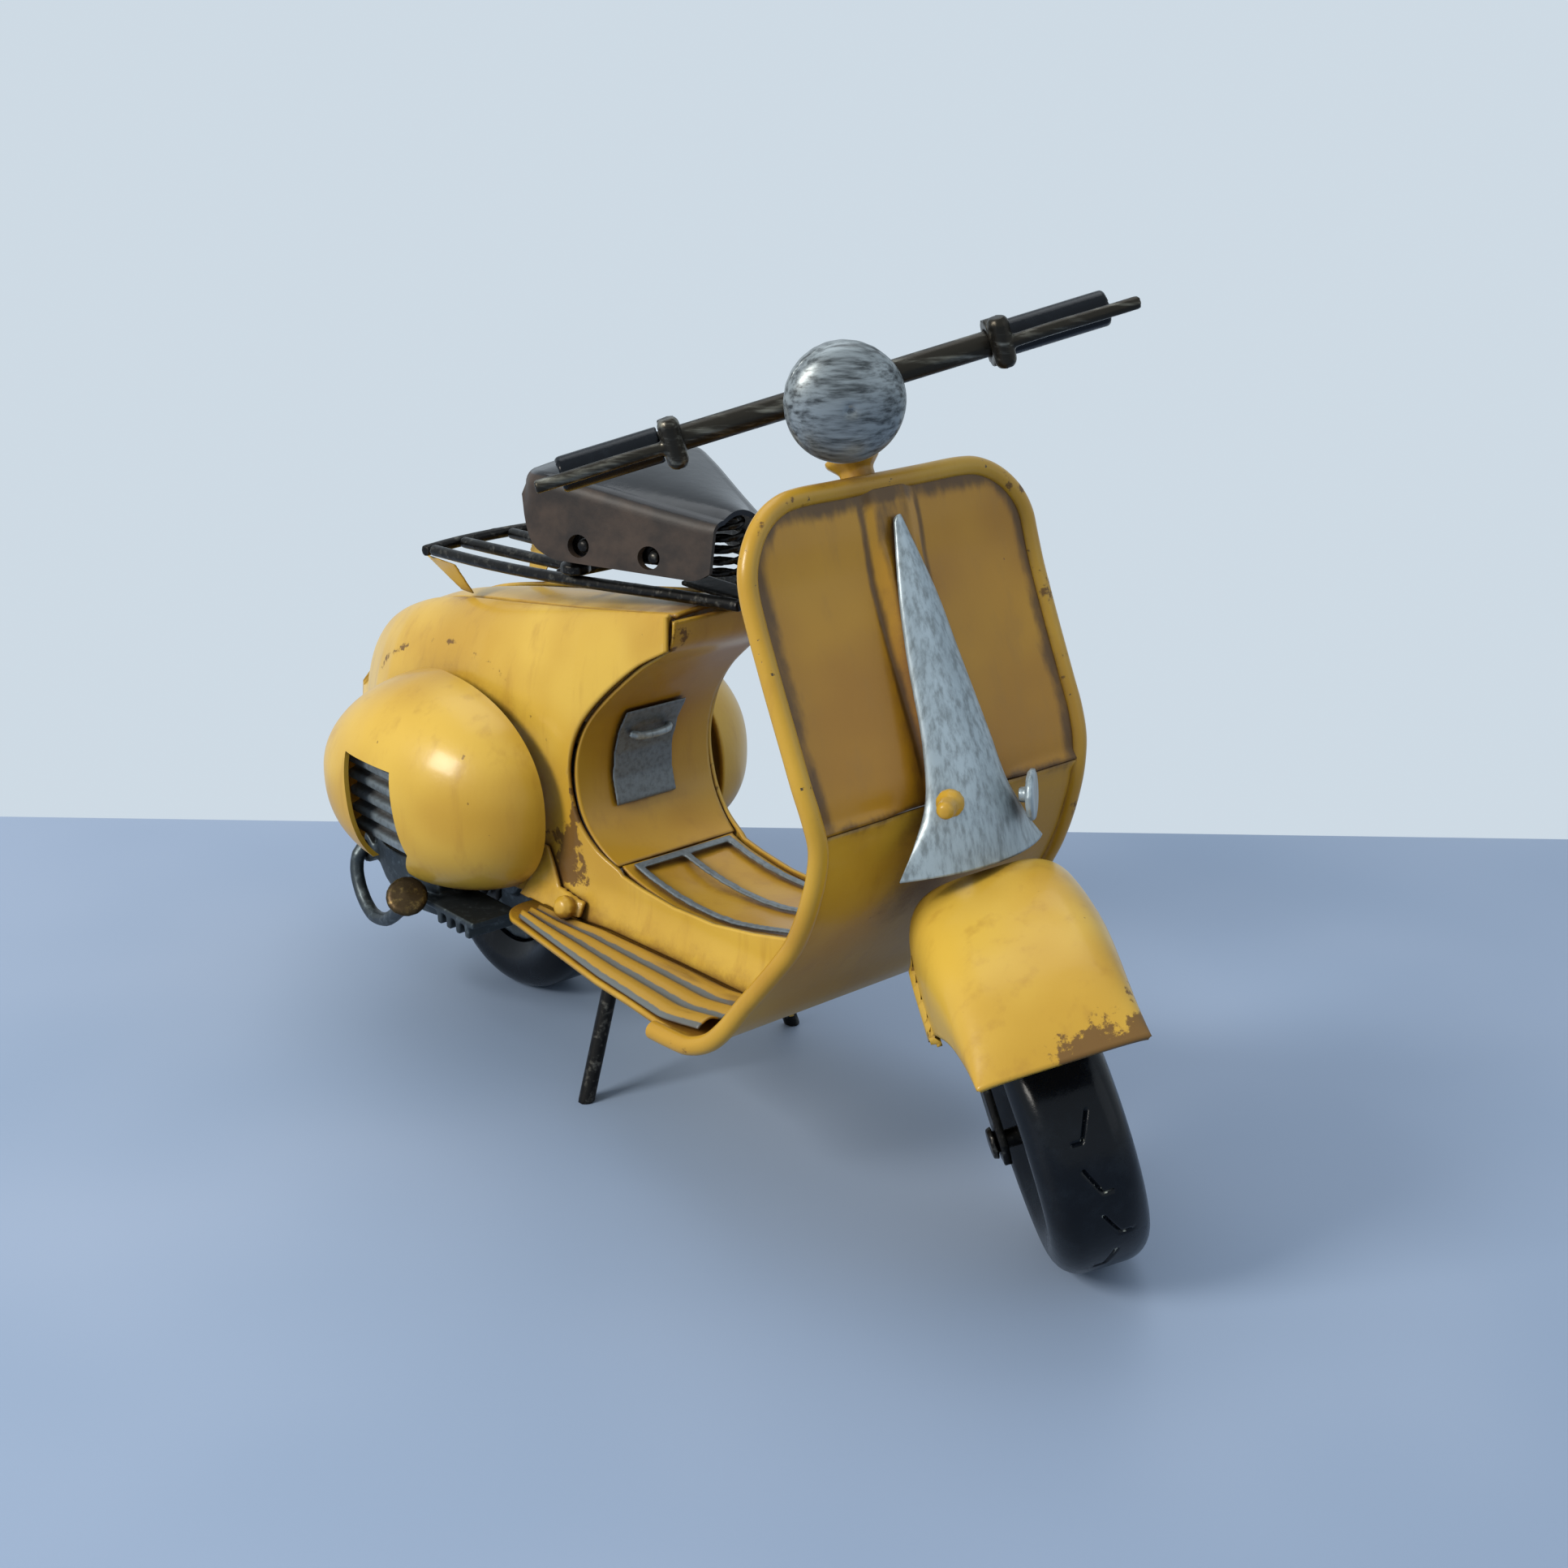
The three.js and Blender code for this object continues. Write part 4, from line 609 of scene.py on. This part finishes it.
def bead_piece():
    side = []
    bead_end = FLOOR_START + 14
    for s in steps(bead_end, SHIELD_CORNER, 20):
        side.append((shield_half(s), s))
    flat = SHIELD_HALF - SHIELD_CORNER
    for i in range(5, -1, -1):
        a = math.pi / 2 * i / 6
        side.append((flat + SHIELD_CORNER * math.sin(a), SHIELD_CORNER - SHIELD_CORNER * math.cos(a)))
    side.append((8, 0))
    path = side + [(-a, b) for a, b in reversed(side)]
    points = []
    for y, s in path:
        p, front = shield_at(s)
        q = p - front * (SHEET / 2)
        points.append((q.x, y, q.z))
    line = Line(points, 10)
    samples = [line.along(line.length * i / 420)[0] for i in range(421)]
    vertices, faces = tube(samples, BEAD_RADIUS, 20)
    marks = {"wear": [0.36] * len(vertices), "edge": [0.52 if v.z > 60 else 0.36 for v in vertices]}
    return finish_mesh(
        "rolled_bead", vertices, faces, "body", YELLOW_FRONT_SHADED, ["shield_bead"], sharp=60, marks=marks
    )


# ----------------------------------------------------------------- column cover

cover_mid = Line([(38.9, 108.4), (44.4, 98), (48.4, 89.5), (54.0, 78), (57.6, 70), (59.6, 64.6), (60.8, 60)])
cover_edge = Line(
    [
        (38.5, 0.8, 107.6), (42.9, 3.6, 97.2), (46.4, 5.0, 88.6), (51.6, 6.6, 77), (54.0, 8.2, 69.4),
        (55.2, 11.4, 64), (56.0, 14.9, 59.5),
    ]
)


def cover_point(u, v):
    a = math.pi * (u - 0.5)
    mid, edge = cover_mid.at(v), cover_edge.at(v)
    bell = 1 + 0.8 * smooth((v - 0.72) / 0.28)
    k = max(0.0, math.cos(a)) ** bell
    return Vector((edge.x + (mid.x - edge.x) * k, edge.y * math.sin(a), edge.z + (mid.z - edge.z) * k))


def cover_piece():
    vertices, faces = grid(cover_point, steps(0, 1, 48), steps(0, 1, 90))
    faces = facing(vertices, faces, (1, 0, 0))
    return finish_mesh(
        "flared_cover", vertices, faces, "body", GREY, ["column_cover"], thickness=0.7, marks={}
    )


# ----------------------------------------------------------------- body sheets

deck_line = Line(
    [
        (-0.9, 86.8), (-20, 83.3), (-45, 79), (-66, 75.4), (-80, 71.8), (-94, 65), (-103, 55.4),
        (-108.2, 45), (-109.4, 36), (-109, 30),
    ]
)
deck_by_x = [(p.x, p.z) for p in deck_line.points]


def deck_height(x):
    for (x0, z0), (x1, z1) in zip(deck_by_x, deck_by_x[1:]):
        if x1 <= x <= x0 and x0 > x1:
            return z0 + (z1 - z0) * (x0 - x) / (x0 - x1)
    return deck_by_x[0][1] if x > -0.9 else 40


strip_half = track([(0, 11), (-30, 9.2), (-75, 6), (-112, 5)])
side_half = track(
    [
        (30, TUNNEL_HALF - 0.4), (5, TUNNEL_HALF), (-14, TUNNEL_HALF + 0.8), (-24, BODY_HALF),
        (-50, BODY_HALF + 2.5), (-80, BODY_HALF + 2.5), (-98, BODY_HALF - 1.5), (-111, BODY_HALF - 8),
    ]
)


def skin_half(x, z):
    if x > -0.9 or z < 50:
        foot = 1.6 * smooth((36 - z) / 8) * smooth((x + 70) / 60)
        tail = smooth((x + 112) / 26)
        half = side_half(x) + foot
        return half if x > -70 else strip_half(x) + (half - strip_half(x)) * math.sqrt(tail)
    fall = max(0, deck_height(x) - z)
    k = min(1, fall / 24)
    rounded = math.sqrt(1 - (1 - k) ** 2)
    tail = 1 if x > -86 else math.sqrt(max(0, (x + 112) / 26))
    return strip_half(x) + (side_half(x) - strip_half(x)) * rounded * tail


wall_top = track([(34, 41.6), (28, 40.6), (20, 38.8), (10, 37.2), (0, 37), (-8, 37.8), (-15, 39)])
arc = Line(
    [
        (-13.5, 39.2), (-19.2, 42), (-23.2, 46.6), (-25, 54.5), (-22.6, 62.5), (-17.2, 69.4),
        (-9.4, 76), (-0.9, 80.8),
    ]
)
ARC_X, ARC_Z = -25, 54.5
arc_low = track([(p.x, p.z) for p in arc.points if p.z <= ARC_Z])
arc_high = track([(p.x, p.z) for p in arc.points if p.z >= ARC_Z])


def skin_foot(x):
    return FLOOR_TOP + GAP + 0.15 if x > -30 else 29.6


def side_piece(side):
    rear = steps(-108.9, ARC_X, 110)
    near_arc = [ARC_X + 24.1 * (i / 44) ** 2 for i in range(1, 45)]
    front = steps(-0.9, 31, 50)[1:]
    low_x, high_x = rear + near_arc + front, rear + near_arc

    def roof(x):
        if x <= ARC_X:
            return min(ARC_Z, deck_height(x) - 0.3)
        return arc_low(x) if x < -13.5 else wall_top(x)

    def lower(x, v):
        foot = skin_foot(x)
        z = foot + (roof(x) - foot) * v
        return Vector((x, side * skin_half(x, z), z))

    def upper(x, v):
        base = roof(x) if x <= ARC_X else arc_high(x)
        top = deck_height(x) - 0.2
        z = top - (top - base) * (1 - v) ** 2
        return Vector((x, side * skin_half(x, z), z))

    v1, f1 = grid(lower, low_x, steps(0, 1, 30))
    v2, f2 = grid(upper, high_x, steps(0, 1, 30))
    f1 = facing(v1, f1, (0, side, 0))
    f2 = facing(v2, f2, (0, side, 0))
    name = "right" if side < 0 else "left"
    vertices = v1 + v2
    faces = f1 + [tuple(k + len(v1) for k in f) for f in f2]
    wear = []
    for v in vertices:
        round_cowl = abs(((v.x - COWL_X) / 33) ** 2 + ((v.z - COWL_Z) / 23) ** 2 - 1)
        low_front = math.exp(-(((v.x + 24) / 7) ** 2) - ((v.z - 37) / 9) ** 2)
        wear.append(0.6 * math.exp(-round_cowl * 6) + 0.6 * low_front)
    marks = {"wear": wear}
    node = "side_skin_" + name
    piece = finish_mesh("body_side_" + name, vertices, faces, "body", YELLOW, [node], marks=marks)
    weld = piece.modifiers.new("weld", "WELD")
    weld.merge_threshold = 0.02 * MM
    thicken(piece, SHEET)
    return piece


def deck_piece():
    inside = SHEET + GAP

    def point(u, v):
        k = 0.012 + v * 0.978
        p, d = deck_line.along(k * deck_line.length)
        half = strip_half(p.x) - inside - 0.25
        crown = 0.7 * (1 - u * u)
        up = Vector((-d.z, 0, d.x)) * -1
        if up.z < 0 and p.x > -60:
            up = -up
        q = p + up * crown
        return Vector((q.x, half * u, q.z - 0.6))

    vertices, faces = grid(point, steps(-1, 1, 24), steps(0, 1, 160))
    faces = facing(vertices, faces, (-0.3, 0, 1))
    return finish_mesh(
        "deck_sheet", vertices, faces, "body", YELLOW, ["deck_strip"], thickness=SHEET, marks={}
    )


panel_line = Line(
    [
        (0.4, 85.6), (-0.6, 81.4), (-9, 75.4), (-16.6, 68.8), (-22, 62), (-24.2, 54.5), (-22.9, 46.8),
        (-18.8, 41.8), (-13.2, 38.8), (-6, 37.3), (2, 36.5), (12, 36.8), (22, 38.8), (30, 40.9),
        (36.5, 44.6),
    ]
)


def on_panel(y, s, lift):
    p, d = panel_line.along(s)
    q = p + Vector((-d.z, 0, d.x)) * lift
    return Vector((q.x, y, q.z))


def panel_half(s, most):
    p, _ = panel_line.along(s)
    return min(skin_half(p.x, p.z) - SHEET - GAP - 0.1, most)


def panel_piece(name, node, start, end, most):
    def point(u, s):
        y = u * panel_half(s, most)
        dip = 0.9 * math.exp(-(((s - 0.62 * panel_line.length) / 9) ** 2)) * (1 - u * u)
        return on_panel(y, s, -dip if node == "tunnel_top" else 0)

    vertices, faces = grid(point, steps(-1, 1, 50), steps(start, end, 100))
    faces = facing(vertices, faces, (1, 0, 0.6))
    wear = [0.32 * smooth((abs(v.y) - 6) / 6) + (0.3 if v.z > 80 else 0.0) for v in vertices]
    marks = {"wear": wear}
    return finish_mesh(name, vertices, faces, "body", YELLOW_FRONT_SHADED, [node], thickness=SHEET, marks=marks)


def tread_piece(side):
    from_x, to_x = FLOOR_REAR + 6, 27

    def profile(t):
        """Height over the board at share t across, three round ribs."""
        ribs = abs(math.sin(math.pi * 3 * t)) ** 1.4
        return 0.35 + 0.85 * ribs

    def point(t, x):
        inner = skin_half(x, 30) + 0.9
        outer = shield_half(shield_line.length - x + FLOOR_REAR) - TRIM - 0.7
        lift = FLOOR_TOP + GAP + 1.9 * smooth((x - 16) / 16) - 0.3 * smooth((8 - x) / 40)
        edge = smooth(min(t, 1 - t) / 0.03)
        return Vector((x, side * (inner + (outer - inner) * t), lift + profile(t) * edge))

    ts, xs = steps(0, 1, 72), steps(from_x, to_x, 90)
    vertices, faces = grid(point, ts, xs)
    faces = facing(vertices, faces, (0, 0, 1))
    rib = [1.15 * abs(math.sin(math.pi * 3 * t)) ** 1.2 for _ in xs for t in ts]
    name = "right" if side < 0 else "left"
    return finish_mesh(
        "board_" + name, vertices, faces, "body", TREAD, ["tread_" + name], thickness=0.3, marks={"rib": rib}
    )


# ------------------------------------------------------------------------ cowls


LOUVRE_WINDOW = [(-60, 10), (-60.6, 39), (-62.8, 53), (-48.9, 52.7), (-46, 38), (-49.8, 33), (-49.8, 10)]
ENGINE_WINDOW = [(-78, 8), (-78, 33), (-49.8, 33), (-49.8, 8)]


def cowl_point(u, v, side):
    a, b = 2 * math.pi * u, math.pi / 2 * (0.06 + 0.94 * v)
    cx, cz = math.cos(a), math.sin(a)
    blunt_x = math.copysign(abs(cx) ** 0.86, cx)
    blunt_z = math.copysign(abs(cz) ** 0.86, cz)
    ring = max(0.0, math.cos(b)) ** 0.8
    rear, belly = max(0, -cx), 1.6 * max(0, cx) * cx
    x = COWL_X + COWL_LENGTH / 2 * blunt_x * ring - 3 * (1 - ring) + (belly + 2.4 * rear) * ring
    slope = 1 - 0.28 * rear if cz > 0 else 1
    z = COWL_Z + COWL_HEIGHT / 2 * blunt_z * slope * ring - 1.5 * (1 - ring)
    return Vector((x, side * (17.6 + COWL_DEPTH * math.sin(b)), z))


def cowl_piece(side):
    around = 168
    rows = [1 - (1 - i / 60) ** 1.6 for i in range(61)]
    vertices, faces = [], []
    for v in rows[:-1]:
        vertices += [cowl_point(i / around, v, side) for i in range(around)]
    for j in range(len(rows) - 2):
        for i in range(around):
            n = (i + 1) % around
            faces.append((j * around + i, j * around + n, (j + 1) * around + n, (j + 1) * around + i))
    tip = len(vertices)
    vertices.append(cowl_point(0, 1, side))
    last = (len(rows) - 2) * around
    faces += [(last + i, last + (i + 1) % around, tip) for i in range(around)]
    faces = facing(vertices, faces, (0, side, 0))
    wear = []
    for v in vertices:
        low_patch = math.exp(-(((v.x + 62) / 13) ** 2) - ((v.z - 29.5) / 4.5) ** 2)
        rim = math.exp(-((abs(v.y) - 18) / 2.2) ** 2)
        wear.append(0.62 * low_patch * (1 if side < 0 else 0.5) + 0.35 * rim)
    name = "right" if side < 0 else "left"
    marks = {"wear": wear}
    node = "cowl_" + name
    piece = finish_mesh(
        "cowl_shell_" + name, vertices, faces, "body", YELLOW, [node], thickness=0.9, marks=marks
    )
    if side < 0:
        cut(piece, LOUVRE_WINDOW, -54, -24)
        cut(piece, ENGINE_WINDOW, -42, -16.8)
    return piece


def cut(piece, outline, y0, y1):
    """Cuts a straight window through a piece, outline given in X and Z."""
    n = len(outline)
    vertices = [place((x, y, z)) for y in (y0, y1) for x, z in outline]
    faces = [tuple(range(n)), tuple(reversed(range(n, 2 * n)))]
    faces += [(i, i + n, (i + 1) % n + n, (i + 1) % n) for i in range(n)]
    mesh = bpy.data.meshes.new("window")
    shape = bmesh.new()
    corners = [shape.verts.new(v) for v in vertices]
    for f in faces:
        shape.faces.new([corners[k] for k in f])
    bmesh.ops.recalc_face_normals(shape, faces=shape.faces)
    shape.to_mesh(mesh)
    shape.free()
    cutter = bpy.data.objects.new("window", mesh)
    bpy.context.scene.collection.objects.link(cutter)
    boolean = piece.modifiers.new("window", "BOOLEAN")
    boolean.operation = "DIFFERENCE"
    boolean.solver = "EXACT"
    boolean.object = cutter
    evaluated = piece.evaluated_get(bpy.context.evaluated_depsgraph_get())
    made = bpy.data.meshes.new_from_object(evaluated)
    piece.modifiers.clear()
    piece.data = made
    made.shade_smooth()
    made.set_sharp_from_angle(angle=math.radians(SHARP_ANGLE))
    bpy.data.objects.remove(cutter)


# ----------------------------------------------------------------------- fender

fender_line = Line(
    [
        (FENDER_LIP_X, FENDER_LIP_Z), (91, 50.9), (84, 54.6), (76, 57.2), (68, FENDER_CROWN - 0.2),
        (61, FENDER_CROWN - 0.3), (57, FENDER_CROWN - 1.4), (54.8, 54), (54, 49), (53, 42), (52, 34),
    ]
)
fender_drop = track([(0, 0.8), (0.12, 6), (0.3, 13), (0.45, 18), (0.6, 22), (0.74, 20), (0.86, 10), (1, 5)])


def fender_point(u, v):
    p, d = fender_line.along(v * fender_line.length)
    a = abs(u) * math.pi / 2
    half = FENDER_HALF - 1.7 * smooth((0.45 - v) / 0.45)
    y = math.copysign(half * math.sin(a) ** 0.5, u) if u else 0
    inward = fender_drop(v) * (1 - max(0, math.cos(a)) ** 0.5)
    aim = Vector((FRONT_AXLE_X - p.x, 0, FRONT_AXLE_Z - p.z)).normalized()
    square = Vector((d.z, 0, -d.x))
    if square.dot(aim) < 0:
        square = -square
    aim = aim.lerp(square, 0.35).normalized()
    return Vector((p.x + aim.x * inward, y, p.z + aim.z * inward))


def fender_piece():
    def spread(i, n):
        """Closer samples at the middle of the crown and at the skirts' feet."""
        t = i / n * 2 - 1
        return math.copysign(1 - (1 - abs(t)) ** 1.7, t) if abs(t) > 0.5 else t * 1.384

    us = sorted({round(spread(i, 90), 5) for i in range(91)})
    vertices, faces = grid(fender_point, us, steps(0, 1, 110))
    faces = facing(vertices, faces, (0.3, 0, 1))
    wear = []
    for v in vertices:
        lip = math.exp(-(((v.z - FENDER_LIP_Z + 2) / 6.5) ** 2)) * smooth((v.x - 80) / 9)
        left = 0.4 + 0.6 * smooth((v.y + 5) / 6)
        wear.append(0.95 * lip * left)
    marks = {"wear": wear}
    return finish_mesh(
        "fender_shell", vertices, faces, "steering", YELLOW, ["front_fender"],
        steered=True, thickness=SHEET, marks=marks,
    )


# ----------------------------------------------------------------------- wheels


def hand_cut(angle, across):
    """1 in the tread's few hand-cut marks, 0 on the rubber."""
    turn = angle / (2 * math.pi) * 17
    cell = math.floor(turn)
    if cell * 7 % 5 > 2:
        return 0
    t = turn - cell
    swing = 1 if cell % 2 else -1
    middle = 2.4 * math.sin(cell * 12.9898)
    line = middle + swing * (t - 0.5) * 3.6
    slant = math.exp(-(((across - line) / 0.26) ** 2)) * smooth((0.3 - abs(t - 0.5)) / 0.05)
    elbow = math.exp(-(((t - 0.24) / 0.03) ** 2)) * smooth((1.0 - abs(across - middle + swing * 1.7)) / 0.3)
    return max(slant, elbow)


def tyre_piece(name, node, body, centre, steered):
    half = TYRE_WIDTH / 2
    section = [(RIM_RADIUS, -half + 2.4), (RIM_RADIUS + 2.4, -half + 0.5)]
    for i in range(9):
        a = math.pi / 2 * i / 8
        r = WHEEL_RADIUS - TYRE_SHOULDER + TYRE_SHOULDER * math.sin(a)
        section.append((r, -half + TYRE_SHOULDER - TYRE_SHOULDER * math.cos(a)))
    section += [(WHEEL_RADIUS, h) for h in steps(-half + TYRE_SHOULDER, half - TYRE_SHOULDER, 30)[1:-1]]
    section += [(r, -h) for r, h in reversed(section[:11])]
    around = 540
    vertices, cuts = [], []
    for r, h in section:
        for k in range(around):
            a = 2 * math.pi * k / around
            depth = hand_cut(a, h) if r > WHEEL_RADIUS - 0.6 else 0
            radius = r - 0.55 * depth
            vertices.append(Vector((centre[0] + radius * math.cos(a), h, centre[1] + radius * math.sin(a))))
            cuts.append(depth * (1 - depth) * 4)
    n = len(section)
    faces = []
    for j in range(n):
        m = (j + 1) % n
        for k in range(around):
            q = (k + 1) % around
            faces.append((j * around + k, j * around + q, m * around + q, m * around + k))
    marks = {"cut": cuts}
    return finish_mesh(name, vertices, faces, body, RUBBER, [node], steered=steered, sharp=50, marks=marks)


# ------------------------------------------------------------------------- seat

seat_top = track([(3, 101), (-8, 102.6), (-20, 104.6), (-28, 105.7), (-34, 105.2)])
seat_half = track(
    [
        (3, 4.8), (1, 6), (-8, 9.6), (-20, 14.4), (-28, SEAT_REAR_HALF - 0.6),
        (-31.5, SEAT_REAR_HALF - 0.5), (-34, SEAT_REAR_HALF - 2.6),
    ]
)
skirt_foot = track([(3, 93.4), (0, 91.4), (-12, 91.6), (-25, 91.8), (-29, 93.6), (-32, 99), (-34, 102)])
RIVETS, RIVET_HOLE = [(-20.5, 94.6), (-8.2, 94.2)], 1.9


def blurred(fn, x, reach=1.6):
    """A broken line read with its corners rounded off."""
    return sum(fn(x + k * reach) for k in (-1, -0.5, 0, 0.5, 1)) / 5


def seat_point(u, v):
    x = SEAT_NOSE_X - SEAT_LENGTH * v
    half, top = blurred(seat_half, x), blurred(seat_top, x)
    foot = min(blurred(skirt_foot, x, 1.0), top - 2.4)
    side, k = math.copysign(1, u), abs(u)
    corner = min(2.4, half * 0.4)
    if k < 0.62:
        t = k / 0.62
        return Vector((x, side * (half - corner) * t, top + 1.2 * (1 - t * t)))
    if k < 0.74:
        t = (k - 0.62) / 0.12 * math.pi / 2
        return Vector((x, side * (half - corner + corner * math.sin(t)), top - corner + corner * math.cos(t)))
    t = (k - 0.74) / 0.26
    return Vector((x, side * (half + 0.9 * t), top - corner + (foot - top + corner) * t))


def seat_piece():
    us, vs = steps(-1, 1, 100), steps(0, 1, 90)
    vertices, faces = grid(seat_point, us, vs)
    faces = facing(vertices, faces, (0, 0, 1))
    top = [smooth((0.72 - abs(u)) / 0.1) for _ in vs for u in us]
    piece = finish_mesh(
        "seat_shell", vertices, faces, "saddle", SEAT, ["seat_cover"], thickness=0.9, marks={"top": top}
    )
    for x, z in RIVETS:
        angles = steps(0, 2 * math.pi, 24)[:-1]
        ring = [(x + RIVET_HOLE * math.cos(a), z + RIVET_HOLE * math.sin(a)) for a in angles]
        cut(piece, ring, -40, 40)
    return piece


# ------------------------------------------------------------------- headlamp


def lamp_piece():
    vertices, faces = [], []
    around, rows = 72, 20
    profile = [(LAMP_RADIUS - 0.2, 1.3), (LAMP_RADIUS + 0.05, 1.6)]
    for i in range(rows + 1):
        a = math.pi / 2 * i / rows
        profile.append(((LAMP_RADIUS - 0.1) * math.cos(a), 1.9 + 4.2 * math.sin(a)))
    profile = [(r, h - 0.9 * math.exp(-((r / 0.55) ** 2))) for r, h in profile]
    for r, h in profile[:-1]:
        for k in range(around):
            a = 2 * math.pi * k / around
            vertices.append(Vector((LAMP_X + h, r * math.cos(a), LAMP_Z + r * math.sin(a))))
    for j in range(len(profile) - 2):
        for k in range(around):
            q = (k + 1) % around
            faces.append((j * around + k, j * around + q, (j + 1) * around + q, (j + 1) * around + k))
    tip = len(vertices)
    vertices.append(Vector((LAMP_X + profile[-1][1], 0, LAMP_Z)))
    last = (len(profile) - 2) * around
    faces += [(last + k, last + (k + 1) % around, tip) for k in range(around)]
    faces.append(tuple(range(around)))
    faces = facing(vertices, faces, (1, 0, 0))
    return finish_mesh(
        "lamp_dome", vertices, faces, "steering", LAMP, ["lamp_face"], steered=True, sharp=50, marks={}
    )


# ------------------------------------------------------------ pieces and CAD nodes

shield_piece()
floor_piece()
bead_piece()
cover_piece()
for side in (-1, 1):
    side_piece(side)
    tread_piece(side)
    cowl_piece(side)
deck_piece()
SEAM_AT = 0.53 * panel_line.length
panel_piece("front_panel", "seat_panel", 0, SEAM_AT - GAP / 2, 15)
panel_piece("tunnel_roof", "tunnel_top", SEAM_AT + GAP / 2, panel_line.length, 12)
fender_piece()
seat_piece()
lamp_piece()
tyre_piece("rear_tyre_rubber", "rear_tyre", "rear_wheel", (REAR_AXLE.x, REAR_AXLE.z), False)
tyre_piece("front_tyre_rubber", "front_tyre", "front_wheel", (FRONT_AXLE_X, FRONT_AXLE_Z), True)

COATS = {
    "cover_disc": GREY, "louvre_slats": GREY_FLAT, "door_plate": GREY_FLAT, "tunnel_strips": GREY_FLAT,
    "cover_pin": YELLOW, "column_sleeve": YELLOW_FRONT_SHADED, "door_handle": GREY, "foot_bracket_right": YELLOW,
    "foot_bracket_left": YELLOW, "rack_support_right": YELLOW, "rack_support_left": YELLOW,
    "grip_right": SLEEVE, "grip_left": SLEEVE, "handlebar": BAR, "lever_right": BAR, "lever_left": BAR,
    "engine_block": CAST, "front_hub": CAST, "rear_hub": CAST, "kick_lever": CAST, "kick_pedal": BRASS,
    "lamp_bowl": LAMP, "tail_lamp": RED,
}
for name, node in frame["nodes"].items():
    if node.hide_render:
        continue
    soften = node.modifiers.new("soften", "REMESH")
    soften.mode = "VOXEL"
    soften.voxel_size = VOXEL * MM
    soften.use_smooth_shade = True
    rub = node.modifiers.new("rub", "SMOOTH")
    rub.factor = SMOOTH_SHARE
    rub.iterations = SMOOTH_TIMES
    coat = COATS.get(name, STEEL)
    if not node.material_slots:
        continue
    for held in node.material_slots:
        held.link = "OBJECT"
        held.material = coat

# ------------------------------------------------------------------------ stage

CAMERA_AT = ORIGIN + Vector((283.90, -232.64, 189.64)) * MM
CAMERA_YAW, CAMERA_PITCH = math.radians(139.34), math.radians(20.07)
CAMERA_LENS, CAMERA_SENSOR = 54.14, 36
# The table's far edge in metres ahead of the camera, its turn, half width and depth
TABLE_END, TABLE_TURN, TABLE_HALF, TABLE_DEEP = 0.4905, math.radians(-2.3), 0.9, 1.4


def make_camera():
    data = bpy.data.cameras.new("camera")
    data.sensor_width = CAMERA_SENSOR
    data.lens = CAMERA_LENS
    data.clip_start = 0.01
    camera = bpy.data.objects.new("camera", data)
    bpy.context.scene.collection.objects.link(camera)
    ahead = Vector(
        (
            math.cos(CAMERA_PITCH) * math.cos(CAMERA_YAW),
            math.cos(CAMERA_PITCH) * math.sin(CAMERA_YAW),
            -math.sin(CAMERA_PITCH),
        )
    )
    camera.location = CAMERA_AT
    camera.rotation_euler = ahead.to_track_quat("-Z", "Y").to_euler()
    bpy.context.scene.camera = camera


def make_table():
    """A pale table top that ends behind the object."""
    ahead = Vector((math.cos(CAMERA_YAW), math.sin(CAMERA_YAW), 0))
    across = Vector((math.sin(CAMERA_YAW), -math.cos(CAMERA_YAW), 0))
    turn = Matrix.Rotation(TABLE_TURN, 3, "Z")
    foot = Vector((CAMERA_AT.x, CAMERA_AT.y, 0)) + ahead * TABLE_END
    ahead, across = turn @ ahead, turn @ across
    half, deep = across * TABLE_HALF, ahead * TABLE_DEEP
    corners = [foot - half, foot + half, foot + half - deep, foot - half - deep]
    mesh = bpy.data.meshes.new("table")
    mesh.from_pydata(corners, [], [(0, 1, 2, 3)])
    table = bpy.data.objects.new("table", mesh)
    bpy.context.scene.collection.objects.link(table)
    p = Paint("table_top")
    cloud = p.ramp(p.noise(120, 2), 0.3, 0.7)
    p.set(Base_Color=p.mix(cloud, (0.215, 0.28, 0.39), (0.26, 0.32, 0.43)), Roughness=0.55)
    mesh.materials.append(p.material)


def make_light():
    world = bpy.data.worlds.new("room")
    bpy.context.scene.world = world
    world.use_nodes = True
    shade = world.node_tree.nodes["Background"]
    shade.inputs[0].default_value = (0.65, 0.74, 0.82, 1)
    shade.inputs[1].default_value = 0.95
    for name, at, aim, size, power, colour in (
        ("key", (-0.1, -0.78, 0.56), (0, 0, 0.05), 0.32, 8.2, (1.0, 0.96, 0.89)),
        ("fill", (0.75, 0.35, 0.5), (0, 0, 0.06), 0.6, 0.6, (0.86, 0.93, 1.0)),
        ("top", (-0.25, 0.15, 0.85), (0, 0, 0.05), 0.6, 1.8, (0.92, 0.96, 1.0)),
    ):
        lamp = bpy.data.lights.new(name, "AREA")
        lamp.size = size
        lamp.energy = power
        lamp.color = colour
        holder = bpy.data.objects.new(name, lamp)
        bpy.context.scene.collection.objects.link(holder)
        holder.location = at
        holder.rotation_euler = (Vector(aim) - Vector(at)).to_track_quat("-Z", "Y").to_euler()


make_camera()
make_table()
make_light()
bpy.context.scene.view_settings.view_transform = "Standard"
